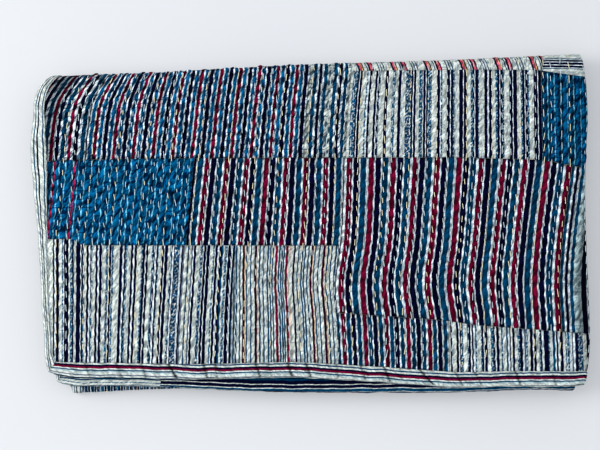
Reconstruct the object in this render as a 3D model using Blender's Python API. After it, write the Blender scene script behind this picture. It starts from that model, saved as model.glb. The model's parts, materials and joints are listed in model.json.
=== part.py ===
"""Kantha quilt, folded: a quilted patchwork throw with bound edges.

The throw is doubled across its width, with that fold on the right, and then folded
back and forth along its length, so that its two bound ends lie at the front and a
round fold lies at the back. Each solid is a sheet of cloth that follows those folds.

X runs to the right, Y to the back and Z up. The origin is the middle of the bundle's
underside. Tables are in millimetres.
"""

import math
from collections import namedtuple

import bmesh
import bpy
import numpy as np
from mathutils import Matrix

MM = 0.001

# ---- driving dimensions, in millimetres ----
BUNDLE_WIDTH = 632.0  # half of the 1.27 m throw, less the turn of its fold
PLY_PITCH = 4.2  # from the middle of one ply to the other, where the throw is doubled
RUN_PITCH = 9.2  # from the middle of one doubled run to the next
END_WIDTH = 16.5  # of the strips over the two ends
SIDE_WIDTH = 13.0  # of the strips down the two sides
BINDING_WALL = 0.9
EDGE_HALF = 0.35  # half the thickness of the quilt's pressed edge, inside its binding
SEAM_GAP = 0.45
SHOULDER = 1.0  # length over which the quilt thickens again past its binding
MITRE_GAP = 0.28
JOINT_GAP = 0.4
CLOTH_HALF = EDGE_HALF + SEAM_GAP + BINDING_WALL

HALF_WIDTH = BUNDLE_WIDTH / 2
PLY_RADIUS = PLY_PITCH / 2
FRONT_RADIUS = RUN_PITCH / 2
BACK_RADIUS = 1.5 * RUN_PITCH
STACK_MIDDLE = BACK_RADIUS + PLY_RADIUS + CLOTH_HALF
INNER_FOLD_BACK = 3.0  # how far the inner back fold lies in front of the outer one

# ---- where the ends and folds of the runs lie, by share of the width from the left ----
END_COLUMNS = ("across", "hem_a", "hem_b", "front_fold", "back_fold")
ENDS = (
    (0.00, -179.3, -188.0, -190.9, 166.8),
    (0.10, -179.8, -187.6, -188.3, 168.3),
    (0.17, -180.7, -187.7, -186.0, 169.5),
    (0.23, -181.4, -188.8, -184.7, 171.0),
    (0.31, -181.4, -191.2, -183.2, 174.2),
    (0.38, -180.3, -193.1, -182.2, 176.9),
    (0.455, -179.3, -194.4, -181.0, 179.5),
    (0.55, -182.4, -194.9, -180.0, 182.0),
    (0.62, -185.0, -194.8, -180.0, 183.4),
    (0.69, -188.2, -195.1, -180.0, 184.8),
    (0.76, -190.8, -194.6, -180.0, 186.3),
    (0.85, -189.9, -192.4, -180.0, 189.2),
    (0.92, -190.1, -191.5, -180.0, 191.4),
    (1.00, -189.7, -193.2, -180.0, 194.0),
)

# ---- how far each run is set in from the bundle's sides, along the folding path ----
SET_COLUMNS = ("knot", "right", "outer_ply", "inner_ply")
SET_IN = (
    ("top run, front", 0.0, 0.0, 8.0),
    ("top run, back", 0.0, 0.0, 6.0),
    ("bottom run, back", 4.0, 9.0, 7.0),
    ("bottom run, front", 8.0, 34.0, 30.0),
    ("third run, front", 9.0, 33.0, 36.0),
    ("third run, back", 8.0, 14.0, 16.0),
    ("second run, back", 8.0, 13.0, 11.0),
    ("second run, front", 12.0, 17.0, 11.0),
)

# ---- how the sides wander, by share of the depth from the front ----
SIDE_COLUMNS = ("depth", "left", "corner", "right")
SIDES = (
    (0.00, 9.5, 0.0, -0.8),
    (0.12, 12.0, 0.0, 5.0),
    (0.25, 8.3, 0.0, 5.1),
    (0.45, 2.8, 0.0, 3.4),
    (0.60, -3.8, 0.0, 3.5),
    (0.75, -8.6, 0.5, 6.0),
    (0.82, -9.2, 3.0, 8.1),
    (0.90, -9.5, 6.5, 7.5),
    (0.96, -8.0, 18.5, 5.9),
    (1.00, -6.0, 32.5, 3.7),
)
CORNER_REACH = 85.0  # how far to the right the turned-in back corner is felt
DEPTH_FRONT = -190.0
DEPTH_BACK = 198.0

# ---- the front corners, drawn in and rounded ----
PINCH_COLUMNS = ("side", "reach", "draw")
PINCHES = ((-1.0, 52.0, 11.0), (1.0, 30.0, 2.0))

# ---- loft: how much higher or lower the stack lies there, as a share of its height ----
LOFT_COLUMNS = ("x", "y", "spread_x", "spread_y", "rise")
LOFTS = (
    (-322.0, 0.0, 34.0, 900.0, -0.13),
    (-300.0, -190.0, 60.0, 60.0, -0.05),
    (0.0, -205.0, 900.0, 34.0, -0.08),
    (322.0, -20.0, 30.0, 900.0, -0.06),
    (-130.0, 70.0, 95.0, 70.0, 0.05),
    (150.0, -45.0, 120.0, 75.0, 0.05),
    (60.0, 120.0, 90.0, 55.0, -0.03),
    (-190.0, -90.0, 80.0, 60.0, -0.03),
    (250.0, 130.0, 60.0, 60.0, 0.03),
)

# ---- where the lower end binding is pieced, as a share of the upper ply from its side ----
BINDING_JOINT = 0.19

# ---- stations: how finely the cloth is divided ----
WIDE_STEPS = (0.03, 0.08, 0.15, 0.25, 0.38, 0.54, 0.7, 0.85, 1.0)
LOWER_STEPS = (0.04, 0.12, 0.19, 0.25, 0.45, 0.65, 0.85, 1.0)
TOP_RUN_STEPS = (0.1, 0.22, 0.36, 0.5, 0.64, 0.76, 0.86, 0.94, 1.0)
LOWER_RUN_STEPS = (0.0, 0.1, 0.28, 0.5, 0.72, 0.9, 1.0)
SIDE_FOLD_STEPS = 5
BACK_FOLD_STEPS = 8
SMALL_FOLD_STEPS = 6
BINDING_TURN_STEPS = 4

# A place across the cloth: ply is 1 on the outer ply, -1 on the inner one and 0 on the
# side fold, which turns from 0 to pi. A place along it: a leg of the folding path.
Across = namedtuple("Across", "ply inset share turn")
Along = namedtuple("Along", "leg inset share")

TOP_RUN, BACK_FOLD, BOTTOM_RUN, FRONT_FOLD, THIRD_RUN, INNER_FOLD, SECOND_RUN = range(7)

COLOURS = {
    "quilt_cloth": (0.06, 0.16, 0.26),
    "upper_end_binding": (0.70, 0.70, 0.62),
    "lower_end_binding_navy": (0.02, 0.03, 0.10),
    "lower_end_binding_cream": (0.66, 0.68, 0.62),
    "outer_side_binding": (0.60, 0.66, 0.64),
    "inner_side_binding": (0.60, 0.66, 0.64),
}


def column(rows, names, name):
    """One named column of a table, as an array."""
    return np.array([row[names.index(name)] for row in rows], float)


def eased(knots, values, at):
    """Smooth curve through the values at the knots, read at the given places."""
    at = np.clip(np.asarray(at, float), knots[0], knots[-1])
    slopes = np.gradient(values, knots)
    i = np.clip(np.searchsorted(knots, at) - 1, 0, len(knots) - 2)
    step = knots[i + 1] - knots[i]
    t = (at - knots[i]) / step
    start = (1 + 2 * t) * (1 - t) ** 2 * values[i] + t * (1 - t) ** 2 * step * slopes[i]
    end = t**2 * (3 - 2 * t) * values[i + 1] + t**2 * (t - 1) * step * slopes[i + 1]
    return start + end


def end_line(name, x):
    """Y of one end or fold of a run, where the cloth lies at x."""
    share = (x + HALF_WIDTH) / BUNDLE_WIDTH
    return eased(column(ENDS, END_COLUMNS, "across"), column(ENDS, END_COLUMNS, name), share)


def set_in(name, leg, share):
    """How far a side of the cloth is set in, at this share of a leg of the path."""
    values = column(SET_IN, SET_COLUMNS, name)
    return values[leg] + (values[leg + 1] - values[leg]) * share


def settle(x, y, z):
    """The bundle as it lies: its sides wander, its corners are drawn in, its height varies."""
    depth = (y - DEPTH_FRONT) / (DEPTH_BACK - DEPTH_FRONT)
    knots = column(SIDES, SIDE_COLUMNS, "depth")
    left = eased(knots, column(SIDES, SIDE_COLUMNS, "left"), depth)
    corner = eased(knots, column(SIDES, SIDE_COLUMNS, "corner"), depth)
    right = eased(knots, column(SIDES, SIDE_COLUMNS, "right"), depth)
    share = (x + HALF_WIDTH) / BUNDLE_WIDTH
    new_x = x + left * (1 - share) + right * share
    new_x = new_x + corner * np.exp(-(x + HALF_WIDTH) / CORNER_REACH)
    new_y = y
    for side, reach, draw in PINCHES:
        near = np.clip(1 - (HALF_WIDTH - side * x) / reach, 0, 1) ** 2
        near = near * np.clip(1 - (y - DEPTH_FRONT) / reach, 0, 1) ** 2
        new_x = new_x - side * draw * near
        new_y = new_y + draw * near
    loft = 1.0
    for row_x, row_y, spread_x, spread_y, rise in LOFTS:
        away = ((x - row_x) / spread_x) ** 2 + ((y - row_y) / spread_y) ** 2
        loft = loft + rise * np.exp(-away)
    return new_x, new_y, z * loft


def path_place(along, x):
    """Y, height and upward direction of the folding path at one place, where the cloth lies at x."""
    far = end_line("back_fold", x)
    near_far = far - INNER_FOLD_BACK
    front = end_line("front_fold", x) + FRONT_RADIUS
    low, high = STACK_MIDDLE - BACK_RADIUS, STACK_MIDDLE + BACK_RADIUS
    runs = {
        TOP_RUN: (end_line("hem_a", x), far, high, 1),
        BOTTOM_RUN: (front, far, low, -1),
        THIRD_RUN: (front, near_far, low + RUN_PITCH, 1),
        SECOND_RUN: (end_line("hem_b", x), near_far, high - RUN_PITCH, -1),
    }
    folds = {
        BACK_FOLD: (far, STACK_MIDDLE, BACK_RADIUS, 90.0, -90.0),
        FRONT_FOLD: (front, low + FRONT_RADIUS, FRONT_RADIUS, -90.0, -270.0),
        INNER_FOLD: (near_far, STACK_MIDDLE, -FRONT_RADIUS, 90.0, 270.0),
    }
    if along.leg in runs:
        start, end, height, way = runs[along.leg]
        y = (start + along.inset) * (1 - along.share) + end * along.share
        return y, height, 0.0, float(way)
    middle, height, radius, start, end = folds[along.leg]
    angle = math.radians(start + (end - start) * along.share)
    way_y, way_z = math.cos(angle), math.sin(angle)
    return middle + radius * way_y, height + radius * way_z, way_y, way_z


def leg_share(along):
    """How far along its leg a place lies, counted the way that the path runs."""
    backwards = along.leg in (BOTTOM_RUN, SECOND_RUN)
    return 1 - along.share if backwards else along.share


def cloth_point(across, along, lift):
    """The settled point at that place of the cloth, lifted off its middle towards its face."""
    share = leg_share(along)
    turn_x = HALF_WIDTH - set_in("right", along.leg, share) - PLY_RADIUS - CLOTH_HALF
    radius = PLY_RADIUS + lift
    if across.ply == 0:
        x = turn_x + radius * math.sin(across.turn)
        offset = radius * math.cos(across.turn)
    else:
        name = "outer_ply" if across.ply > 0 else "inner_ply"
        edge = -HALF_WIDTH + set_in(name, along.leg, share) + across.inset
        x = edge * (1 - across.share) + turn_x * across.share
        offset = across.ply * radius
    y, height, way_y, way_z = path_place(along, x)
    x, y, z = settle(x, y + way_y * offset, height + way_z * offset)
    return x * MM, y * MM, z * MM


def sheet_solid(name, face, back):
    """One closed mesh between two grids of points, made into an object.

    face and back are rows of points of the same size; each edge of the grids is joined
    by a rim."""
    rows, columns = len(face), len(face[0])
    points = [point for grid in (face, back) for row in grid for point in row]

    def index(side, i, j):
        return (side * rows + i) * columns + j

    faces = []
    for i in range(rows - 1):
        for j in range(columns - 1):
            corners = ((i, j), (i, j + 1), (i + 1, j + 1), (i + 1, j))
            faces.append([index(0, *corner) for corner in corners])
            faces.append([index(1, *corner) for corner in reversed(corners)])
    border = [(0, j) for j in range(columns)]
    border += [(i, columns - 1) for i in range(1, rows)]
    border += [(rows - 1, j) for j in range(columns - 2, -1, -1)]
    border += [(i, 0) for i in range(rows - 2, 0, -1)]
    for here, after in zip(border, border[1:] + border[:1]):
        faces.append([index(0, *after), index(0, *here), index(1, *here), index(1, *after)])
    mesh = bpy.data.meshes.new(name)
    mesh.from_pydata(points, [], faces)
    turned_out = bmesh.new()
    turned_out.from_mesh(mesh)
    bmesh.ops.recalc_face_normals(turned_out, faces=turned_out.faces)
    turned_out.to_mesh(mesh)
    turned_out.free()
    mesh.materials.append(cloth_material(name))
    mesh.shade_smooth()
    mesh.set_sharp_from_angle(angle=math.radians(50))
    made = bpy.data.objects.new(name, mesh)
    bpy.context.scene.collection.objects.link(made)
    return made


def cloth_material(name):
    """Matt cotton in the sub-part's main colour."""
    material = bpy.data.materials.new(name)
    material.use_nodes = True
    shader = material.node_tree.nodes["Principled BSDF"]
    shader.inputs["Base Color"].default_value = (*COLOURS[name], 1.0)
    shader.inputs["Roughness"].default_value = 0.85
    shader.inputs["Metallic"].default_value = 0.0
    return material


def side_fold_stations():
    """Places round the side fold, between its two ends."""
    turns = [math.pi * step / SIDE_FOLD_STEPS for step in range(1, SIDE_FOLD_STEPS)]
    return [Across(0, 0.0, 0.0, turn) for turn in turns]


def across_stations(edge):
    """Places across the whole cloth, past the shoulders of its two sides."""
    outer = [Across(1, edge, share, 0.0) for share in WIDE_STEPS]
    inner = [Across(-1, edge, share, 0.0) for share in reversed(LOWER_STEPS)]
    return outer + side_fold_stations() + inner


def fold_stations(leg, steps):
    """Places round one fold of the path, between its two ends."""
    return [Along(leg, 0.0, step / steps) for step in range(1, steps)]


def along_stations(edge):
    """Places along the whole path, past the shoulders of its two ends."""
    stations = [Along(TOP_RUN, edge, share) for share in TOP_RUN_STEPS]
    stations += fold_stations(BACK_FOLD, BACK_FOLD_STEPS)
    stations += [Along(BOTTOM_RUN, 0.0, share) for share in reversed(LOWER_RUN_STEPS)]
    stations += fold_stations(FRONT_FOLD, SMALL_FOLD_STEPS)
    stations += [Along(THIRD_RUN, 0.0, share) for share in LOWER_RUN_STEPS]
    stations += fold_stations(INNER_FOLD, SMALL_FOLD_STEPS)
    stations += [Along(SECOND_RUN, edge, share) for share in reversed(LOWER_RUN_STEPS[1:])]
    return stations


def edge_insets(width):
    """How far in from an edge the cloth changes its thickness, and half of that thickness."""
    return (
        (CLOTH_HALF, EDGE_HALF),
        (width + SEAM_GAP, EDGE_HALF),
        (width + SEAM_GAP + SHOULDER, CLOTH_HALF),
    )


def quilt_cloth():
    """The quilted cloth, thinner where its bindings hold it."""
    sides, ends = edge_insets(SIDE_WIDTH), edge_insets(END_WIDTH)
    across = [(Across(1, inset, 0.0, 0.0), half) for inset, half in sides]
    across += [(place, CLOTH_HALF) for place in across_stations(sides[-1][0])]
    across += [(Across(-1, inset, 0.0, 0.0), half) for inset, half in reversed(sides)]
    along = [(Along(TOP_RUN, inset, 0.0), half) for inset, half in ends]
    along += [(place, CLOTH_HALF) for place in along_stations(ends[-1][0])]
    along += [(Along(SECOND_RUN, inset, 0.0), half) for inset, half in reversed(ends)]

    def grid(side):
        return [
            [cloth_point(u, v, side * min(half_u, half_v)) for u, half_u in across]
            for v, half_v in along
        ]

    return sheet_solid("quilt_cloth", grid(1), grid(-1))


def binding_profile(width):
    """The folded strip in section: for each step of it, how far in from the edge and how high
    its outside and its inside lie."""
    flat = [(width, CLOTH_HALF, width, EDGE_HALF + SEAM_GAP)]
    turned = []
    for step in range(BINDING_TURN_STEPS + 1):
        angle = math.pi * (0.5 - step / BINDING_TURN_STEPS)
        rim, bore = math.cos(angle), math.sin(angle)
        inside = EDGE_HALF + SEAM_GAP
        turned.append(
            (CLOTH_HALF * (1 - rim), CLOTH_HALF * bore, CLOTH_HALF - inside * rim, inside * bore)
        )
    back = [(width, -CLOTH_HALF, width, -EDGE_HALF - SEAM_GAP)]
    return flat + turned + back


def side_binding(name, ply):
    """The strip folded over one side of the cloth, mitred at both ends."""
    rows = along_stations(END_WIDTH + SEAM_GAP + SHOULDER)
    near = [Along(TOP_RUN, END_WIDTH + SEAM_GAP, 0.0)]
    far = [Along(SECOND_RUN, END_WIDTH + SEAM_GAP, 0.0)]
    profile = binding_profile(SIDE_WIDTH)

    def strip(outside):
        grid = []
        for place in [None, *near, *rows, *far, None]:
            row = []
            for rim_in, rim_lift, bore_in, bore_lift in profile:
                inset, lift = (rim_in, rim_lift) if outside else (bore_in, bore_lift)
                leg = SECOND_RUN if grid else TOP_RUN
                mitre = inset * END_WIDTH / SIDE_WIDTH + MITRE_GAP
                v = place or Along(leg, mitre, 0.0)
                row.append(cloth_point(Across(ply, inset, 0.0, 0.0), v, lift))
            grid.append(row)
        return grid

    return sheet_solid(name, strip(True), strip(False))


def end_binding(name, leg, places):
    """The strip folded over an end of the cloth, or a length of it between two places."""
    profile = binding_profile(END_WIDTH)

    def strip(outside):
        grid = []
        for place in places:
            row = []
            for rim_in, rim_lift, bore_in, bore_lift in profile:
                inset, lift = (rim_in, rim_lift) if outside else (bore_in, bore_lift)
                mitre = inset * SIDE_WIDTH / END_WIDTH + MITRE_GAP
                u = place if isinstance(place, Across) else Across(place, mitre, 0.0, 0.0)
                row.append(cloth_point(u, Along(leg, inset, 0.0), lift))
            grid.append(row)
        return grid

    return sheet_solid(name, strip(True), strip(False))


def centre_on_origin(objects):
    """Moves the meshes so that the middle of the bundle's underside is the origin."""
    points = np.array([tuple(vertex.co) for made in objects for vertex in made.data.vertices])
    low, high = points.min(axis=0), points.max(axis=0)
    middle = (low + high) / 2
    for made in objects:
        made.data.transform(Matrix.Translation((-middle[0], -middle[1], -low[2])))


def main():
    """Clears the scene and builds the cloth and its five bindings."""
    for old in list(bpy.data.objects):
        bpy.data.objects.remove(old)
    thick = SIDE_WIDTH + SEAM_GAP + SHOULDER
    pressed = [Across(ply, SIDE_WIDTH + SEAM_GAP, 0.0, 0.0) for ply in (1, -1)]
    whole = [1, pressed[0], *across_stations(thick), pressed[1], -1]
    between = [place for place in whole if isinstance(place, Across)]
    before = [place for place in between if place.ply >= 0 or place.share > BINDING_JOINT]
    after = [place for place in between if place.ply < 0 and place.share < BINDING_JOINT]
    half_gap = JOINT_GAP / 2 / BUNDLE_WIDTH
    navy_end, cream_end = (
        Across(-1, thick, BINDING_JOINT + side * half_gap, 0.0) for side in (1, -1)
    )
    centre_on_origin(
        [
            quilt_cloth(),
            side_binding("outer_side_binding", 1),
            side_binding("inner_side_binding", -1),
            end_binding("upper_end_binding", TOP_RUN, whole),
            end_binding("lower_end_binding_navy", SECOND_RUN, [1, *before, navy_end]),
            end_binding("lower_end_binding_cream", SECOND_RUN, [cream_end, *after, -1]),
        ]
    )


if __name__ == "__main__":
    main()
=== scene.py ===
"""Kantha quilt, folded: patchwork, stitching, bindings and studio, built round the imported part.

The quilt is one long cloth folded over itself. A place on it is given by two lengths in
millimetres, as a maker would mark them out: across, from the middle of the bundle over the
side fold to the inner ply, and along, up the top run, round the back and on through the folds.
"""

import json
import logging
import math
from collections.abc import Sequence
from dataclasses import dataclass, field
from enum import Enum

import bpy
import numpy as np
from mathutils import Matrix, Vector

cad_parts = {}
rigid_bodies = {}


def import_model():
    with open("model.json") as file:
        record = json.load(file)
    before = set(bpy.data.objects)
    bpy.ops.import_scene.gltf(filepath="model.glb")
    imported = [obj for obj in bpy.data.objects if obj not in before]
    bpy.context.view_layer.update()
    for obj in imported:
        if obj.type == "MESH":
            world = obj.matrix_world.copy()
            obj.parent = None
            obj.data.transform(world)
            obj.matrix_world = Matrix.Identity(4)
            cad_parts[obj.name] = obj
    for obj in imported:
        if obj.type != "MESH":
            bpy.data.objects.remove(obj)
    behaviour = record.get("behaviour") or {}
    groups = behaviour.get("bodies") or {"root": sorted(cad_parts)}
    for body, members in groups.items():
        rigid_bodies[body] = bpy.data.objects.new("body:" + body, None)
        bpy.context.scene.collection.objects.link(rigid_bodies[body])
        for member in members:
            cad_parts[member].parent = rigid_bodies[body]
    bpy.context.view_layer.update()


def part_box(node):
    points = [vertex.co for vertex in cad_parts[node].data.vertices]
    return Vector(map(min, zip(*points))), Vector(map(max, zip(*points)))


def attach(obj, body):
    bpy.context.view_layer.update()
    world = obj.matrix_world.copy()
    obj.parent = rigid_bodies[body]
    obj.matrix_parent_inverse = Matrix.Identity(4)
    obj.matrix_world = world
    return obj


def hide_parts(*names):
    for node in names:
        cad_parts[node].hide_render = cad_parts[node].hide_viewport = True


LOG = logging.getLogger("kantha_quilt")
MM = 0.001
# How often a place that depends on itself is worked out again.
FIT_ROUNDS, EDGE_ROUNDS, SLIP_ROUNDS, GRAIN_ROUNDS, ACROSS_ROUNDS = 3, 4, 6, 14, 18
CLOTH_MAP = "cloth"
BAKE_MAP = "OFBake"
# How far up a ripple each vertex lies; the cottons paint shade where it is low.
RIDGE = "ridge"
TINT = "tint"
FLOOR_CLEAR = 0.0001
Array = np.ndarray


class Table:
    """Rows of numbers with named columns."""

    def __init__(self, names: str, *rows: tuple[float, ...]) -> None:
        """Keeps each column under its name. The names are separated by spaces."""
        self.columns = dict(zip(names.split(), np.array(rows, float).T))

    def __getitem__(self, name: str) -> Array:
        """The column of that name."""
        return self.columns[name]

    def rows(self) -> list[tuple[float, ...]]:
        """The rows, in order."""
        return list(zip(*self.columns.values()))

    def eased(self, key: str, name: str, at: Array) -> Array:
        """Reads a smooth curve through one column.

        Args:
            key: The column that holds the knots, which rise.
            name: The column that holds the values.
            at: Where to read the curve.

        Returns:
            The values there, held level past the first and the last knot.
        """
        knots, values = self[key], self[name]
        at = np.clip(np.asarray(at, float), knots[0], knots[-1])
        slopes = np.gradient(values, knots)
        i = np.clip(np.searchsorted(knots, at) - 1, 0, len(knots) - 2)
        step = knots[i + 1] - knots[i]
        t = (at - knots[i]) / step
        start = (1 + 2 * t) * (1 - t) ** 2 * values[i] + t * (1 - t) ** 2 * step * slopes[i]
        end = t**2 * (3 - 2 * t) * values[i + 1] + t**2 * (t - 1) * step * slopes[i + 1]
        return start + end


# ---- the folds, as the part has them: shares run from 0 to 1, lengths are millimetres ----
ENDS = Table(
    "across hem_a hem_b front_fold back_fold",
    (0, -179.3, -188, -190.9, 166.8),
    (0.1, -179.8, -187.6, -188.3, 168.3),
    (0.17, -180.7, -187.7, -186, 169.5),
    (0.23, -181.4, -188.8, -184.7, 171),
    (0.31, -181.4, -191.2, -183.2, 174.2),
    (0.38, -180.3, -193.1, -182.2, 176.9),
    (0.455, -179.3, -194.4, -181, 179.5),
    (0.55, -182.4, -194.9, -180, 182),
    (0.62, -185, -194.8, -180, 183.4),
    (0.69, -188.2, -195.1, -180, 184.8),
    (0.76, -190.8, -194.6, -180, 186.3),
    (0.85, -189.9, -192.4, -180, 189.2),
    (0.92, -190.1, -191.5, -180, 191.4),
    (1, -189.7, -193.2, -180, 194),
)
SET_IN = Table(
    "knot right outer inner",
    (0, 0, 0, 8),
    (1, 0, 0, 6),
    (2, 4, 9, 7),
    (3, 8, 34, 30),
    (4, 9, 33, 36),
    (5, 8, 14, 16),
    (6, 8, 13, 11),
    (7, 12, 17, 11),
)
SIDES = Table(
    "depth left corner right",
    (0, 9.5, 0, -0.8),
    (0.12, 12, 0, 5),
    (0.25, 8.3, 0, 5.1),
    (0.45, 2.8, 0, 3.4),
    (0.6, -3.8, 0, 3.5),
    (0.75, -8.6, 0.5, 6),
    (0.82, -9.2, 3, 8.1),
    (0.9, -9.5, 6.5, 7.5),
    (0.96, -8, 18.5, 5.9),
    (1, -6, 32.5, 3.7),
)
PINCHES = Table("side reach draw", (-1, 52, 11), (1, 30, 2))
LOFTS = Table(
    "x y spread_x spread_y rise",
    (-322, 0, 34, 900, -0.13),
    (-300, -190, 60, 60, -0.05),
    (0, -205, 900, 34, -0.08),
    (322, -20, 30, 900, -0.06),
    (-130, 70, 95, 70, 0.05),
    (150, -45, 120, 75, 0.05),
    (60, 120, 90, 55, -0.03),
    (-190, -90, 80, 60, -0.03),
    (250, 130, 60, 60, 0.03),
)

# ---- how the threads bow sideways, by depth, against where they lie at GRAIN_LINE ----
GRAIN_LINE = 80.0
BOW_ACROSS = np.array([-306.0, -127.0, 40.0, 150.0, 300.0])
BOW = Table(
    "depth edge left middle right fold",
    (-161.5, -5.2, -15.6, -5.8, -6.9, -15.5),
    (-113.6, -5.8, -13.9, -8.1, -8.1, -16.5),
    (-74, -6.4, -11.6, -10.4, -13.3, -17.8),
    (-18, -7.5, -8.8, -3.5, -6.9, -13.3),
    (30, -3.5, -4.6, -1.2, -3.5, -6.9),
    (80, 0, 0, 0, 0, 0),
    (113.6, 2.3, 3.5, 1.2, 0.6, 0),
    (149.5, 9.2, 6.9, 3.5, 1.2, 0),
    (183, 30, 11.5, 6.9, 1.7, 0),
)


class Leg(int, Enum):
    """The legs of the folding path, in the order in which the cloth runs through them."""

    TOP_RUN = 0
    BACK_FOLD = 1
    BOTTOM_RUN = 2
    FRONT_FOLD = 3
    THIRD_RUN = 4
    INNER_FOLD = 5
    SECOND_RUN = 6
    END = 7


FOLDS = (Leg.BACK_FOLD, Leg.FRONT_FOLD, Leg.INNER_FOLD)


class Side(Enum):
    """Sides of the cloth at which a piece may end."""

    OUTER = "outer edge"
    FOLD = "side fold"
    INNER = "inner edge"


@dataclass(frozen=True)
class FoldedCloth:
    """The quilt's cloth as it lies folded, as the part has it.

    It turns a place on the cloth into a point of the bundle.
    """

    bundle_width: float = 632.0
    ply_pitch: float = 4.2
    run_pitch: float = 9.2
    half: float = 1.7
    inner_fold_back: float = 3.0
    end_width: float = 16.5
    side_width: float = 13.0
    mitre_gap: float = 0.28
    corner_reach: float = 85.0
    depth_front: float = -190.0
    depth_back: float = 198.0
    moved: tuple[float, float, float] = (0.0, 0.0, 0.0)

    @property
    def half_width(self) -> float:
        """From the middle to either side."""
        return self.bundle_width / 2

    @property
    def ply_radius(self) -> float:
        """Radius of the side fold, at the middle of the cloth."""
        return self.ply_pitch / 2

    @property
    def face_radius(self) -> float:
        """Radius of the side fold, at the face of the cloth."""
        return self.ply_radius + self.half

    @property
    def fold_length(self) -> float:
        """Length of the face round the side fold."""
        return math.pi * self.face_radius

    @property
    def front_radius(self) -> float:
        """Radius of the small folds of the path."""
        return self.run_pitch / 2

    @property
    def back_radius(self) -> float:
        """Radius of the big fold at the back."""
        return 1.5 * self.run_pitch

    @property
    def middle(self) -> float:
        """Height of the middle of the stack."""
        return self.back_radius + self.face_radius

    @property
    def low(self) -> float:
        """Height of the bottom run."""
        return self.middle - self.back_radius

    @property
    def high(self) -> float:
        """Height of the top run."""
        return self.middle + self.back_radius

    def end_line(self, name: str, x: Array) -> Array:
        """Y of one end or fold of a run, where the cloth lies at x."""
        return ENDS.eased("across", name, (x + self.half_width) / self.bundle_width)

    def starts(self, x: Array) -> Array:
        """Where each leg starts along the cloth.

        Args:
            x: Where the cloth lies.

        Returns:
            Eight rows, one for each leg and one for the end of the last.
        """
        far = self.end_line("back_fold", x)
        front = self.end_line("front_fold", x) + self.front_radius
        near_far = far - self.inner_fold_back
        lengths = (
            far,
            math.pi * (self.back_radius + self.face_radius),
            far - front,
            math.pi * (self.front_radius + self.face_radius),
            near_far - front,
            math.pi * self.front_radius,
            near_far - self.end_line("hem_b", x),
        )
        rows = [self.end_line("hem_a", x), *np.cumsum([length + 0 * x for length in lengths], axis=0)]
        return np.stack(rows)

    def leg_share(self, x: Array, along: Array) -> tuple[Array, Array]:
        """The leg that a place is on, and how far along it.

        Args:
            x: Where the cloth lies.
            along: Length along.

        Returns:
            The leg's number and the share of its length, from 0 to 1.
        """
        starts = self.starts(x)
        leg = np.clip((along >= starts).sum(axis=0) - 1, 0, Leg.SECOND_RUN)
        begin = np.take_along_axis(starts, leg[None], 0)[0]
        end = np.take_along_axis(starts, leg[None] + 1, 0)[0]
        return leg, (along - begin) / (end - begin)

    def set_in(self, name: str, leg: Array, share: Array) -> Array:
        """How far a side of the cloth is set in, at this share of a leg."""
        low, high = SET_IN[name][leg], SET_IN[name][leg + 1]
        return low + (high - low) * np.clip(share, 0, 1)

    def turn_x(self, leg: Array, share: Array) -> Array:
        """X at which the side fold starts."""
        return self.half_width - self.set_in("right", leg, share) - self.face_radius

    def side_across(self, side: Side, along: Array) -> Array:
        """Place across the cloth of one of its sides.

        Args:
            side: Which side.
            along: Length along.

        Returns:
            The length across, at each place along.
        """
        x = np.full(np.shape(along), self.half_width if side is Side.FOLD else -self.half_width)
        leg, share = self.leg_share(x, along)
        if side is Side.OUTER:
            return self.set_in("outer", leg, share) - self.half_width
        turn = self.turn_x(leg, share)
        folded = turn + self.fold_length
        if side is Side.FOLD:
            return folded
        return folded + turn + self.half_width - self.set_in("inner", leg, share)

    def settle(self, x: Array, y: Array, z: Array) -> tuple[Array, Array, Array]:
        """The bundle as it lies: its sides wander, its corners are drawn in, its height varies.

        Args:
            x: Even position across.
            y: Even position to the back.
            z: Even height.

        Returns:
            The settled position.
        """
        depth = (y - self.depth_front) / (self.depth_back - self.depth_front)
        left, corner, right = (SIDES.eased("depth", name, depth) for name in ("left", "corner", "right"))
        share = (x + self.half_width) / self.bundle_width
        new_x = x + left * (1 - share) + right * share
        new_x = new_x + corner * np.exp(-(x + self.half_width) / self.corner_reach)
        new_y = y
        for side, reach, draw in PINCHES.rows():
            near = np.clip(1 - (self.half_width - side * x) / reach, 0, 1) ** 2
            near = near * np.clip(1 - (y - self.depth_front) / reach, 0, 1) ** 2
            new_x = new_x - side * draw * near
            new_y = new_y + draw * near
        loft = 1.0
        for row_x, row_y, spread_x, spread_y, rise in LOFTS.rows():
            away = ((x - row_x) / spread_x) ** 2 + ((y - row_y) / spread_y) ** 2
            loft = loft + rise * np.exp(-away)
        return new_x, new_y, z * loft

    def path(self, x: Array, along: Array) -> tuple[Array, Array, Array, Array]:
        """The middle of a run or fold.

        Args:
            x: Where the cloth lies.
            along: Length along.

        Returns:
            Y, height, and the two parts of the direction that the face looks in.
        """
        leg, share = self.leg_share(x, along)
        starts = self.starts(x)
        past = along - np.take_along_axis(starts, leg[None], 0)[0]
        far = self.end_line("back_fold", x)
        near_far = far - self.inner_fold_back
        front = self.end_line("front_fold", x) + self.front_radius
        turned = np.choose(
            leg, (90, 90 - 180 * share, -90, -90 - 180 * share, 90, 90 + 180 * share, 270)
        )
        way_y, way_z = np.cos(np.radians(turned)), np.sin(np.radians(turned))
        small, big = self.front_radius, self.back_radius
        low, high, middle = self.low, self.high, self.middle
        y = np.choose(
            leg,
            (
                along,
                far + big * way_y,
                far - past,
                front + small * way_y,
                front + past,
                near_far - small * way_y,
                near_far - past,
            ),
        )
        z = np.choose(
            leg,
            (
                high,
                middle + big * way_z,
                low,
                low + small + small * way_z,
                low + self.run_pitch,
                middle - small * way_z,
                high - self.run_pitch,
            ),
        )
        return y, z, way_y, way_z

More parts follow.
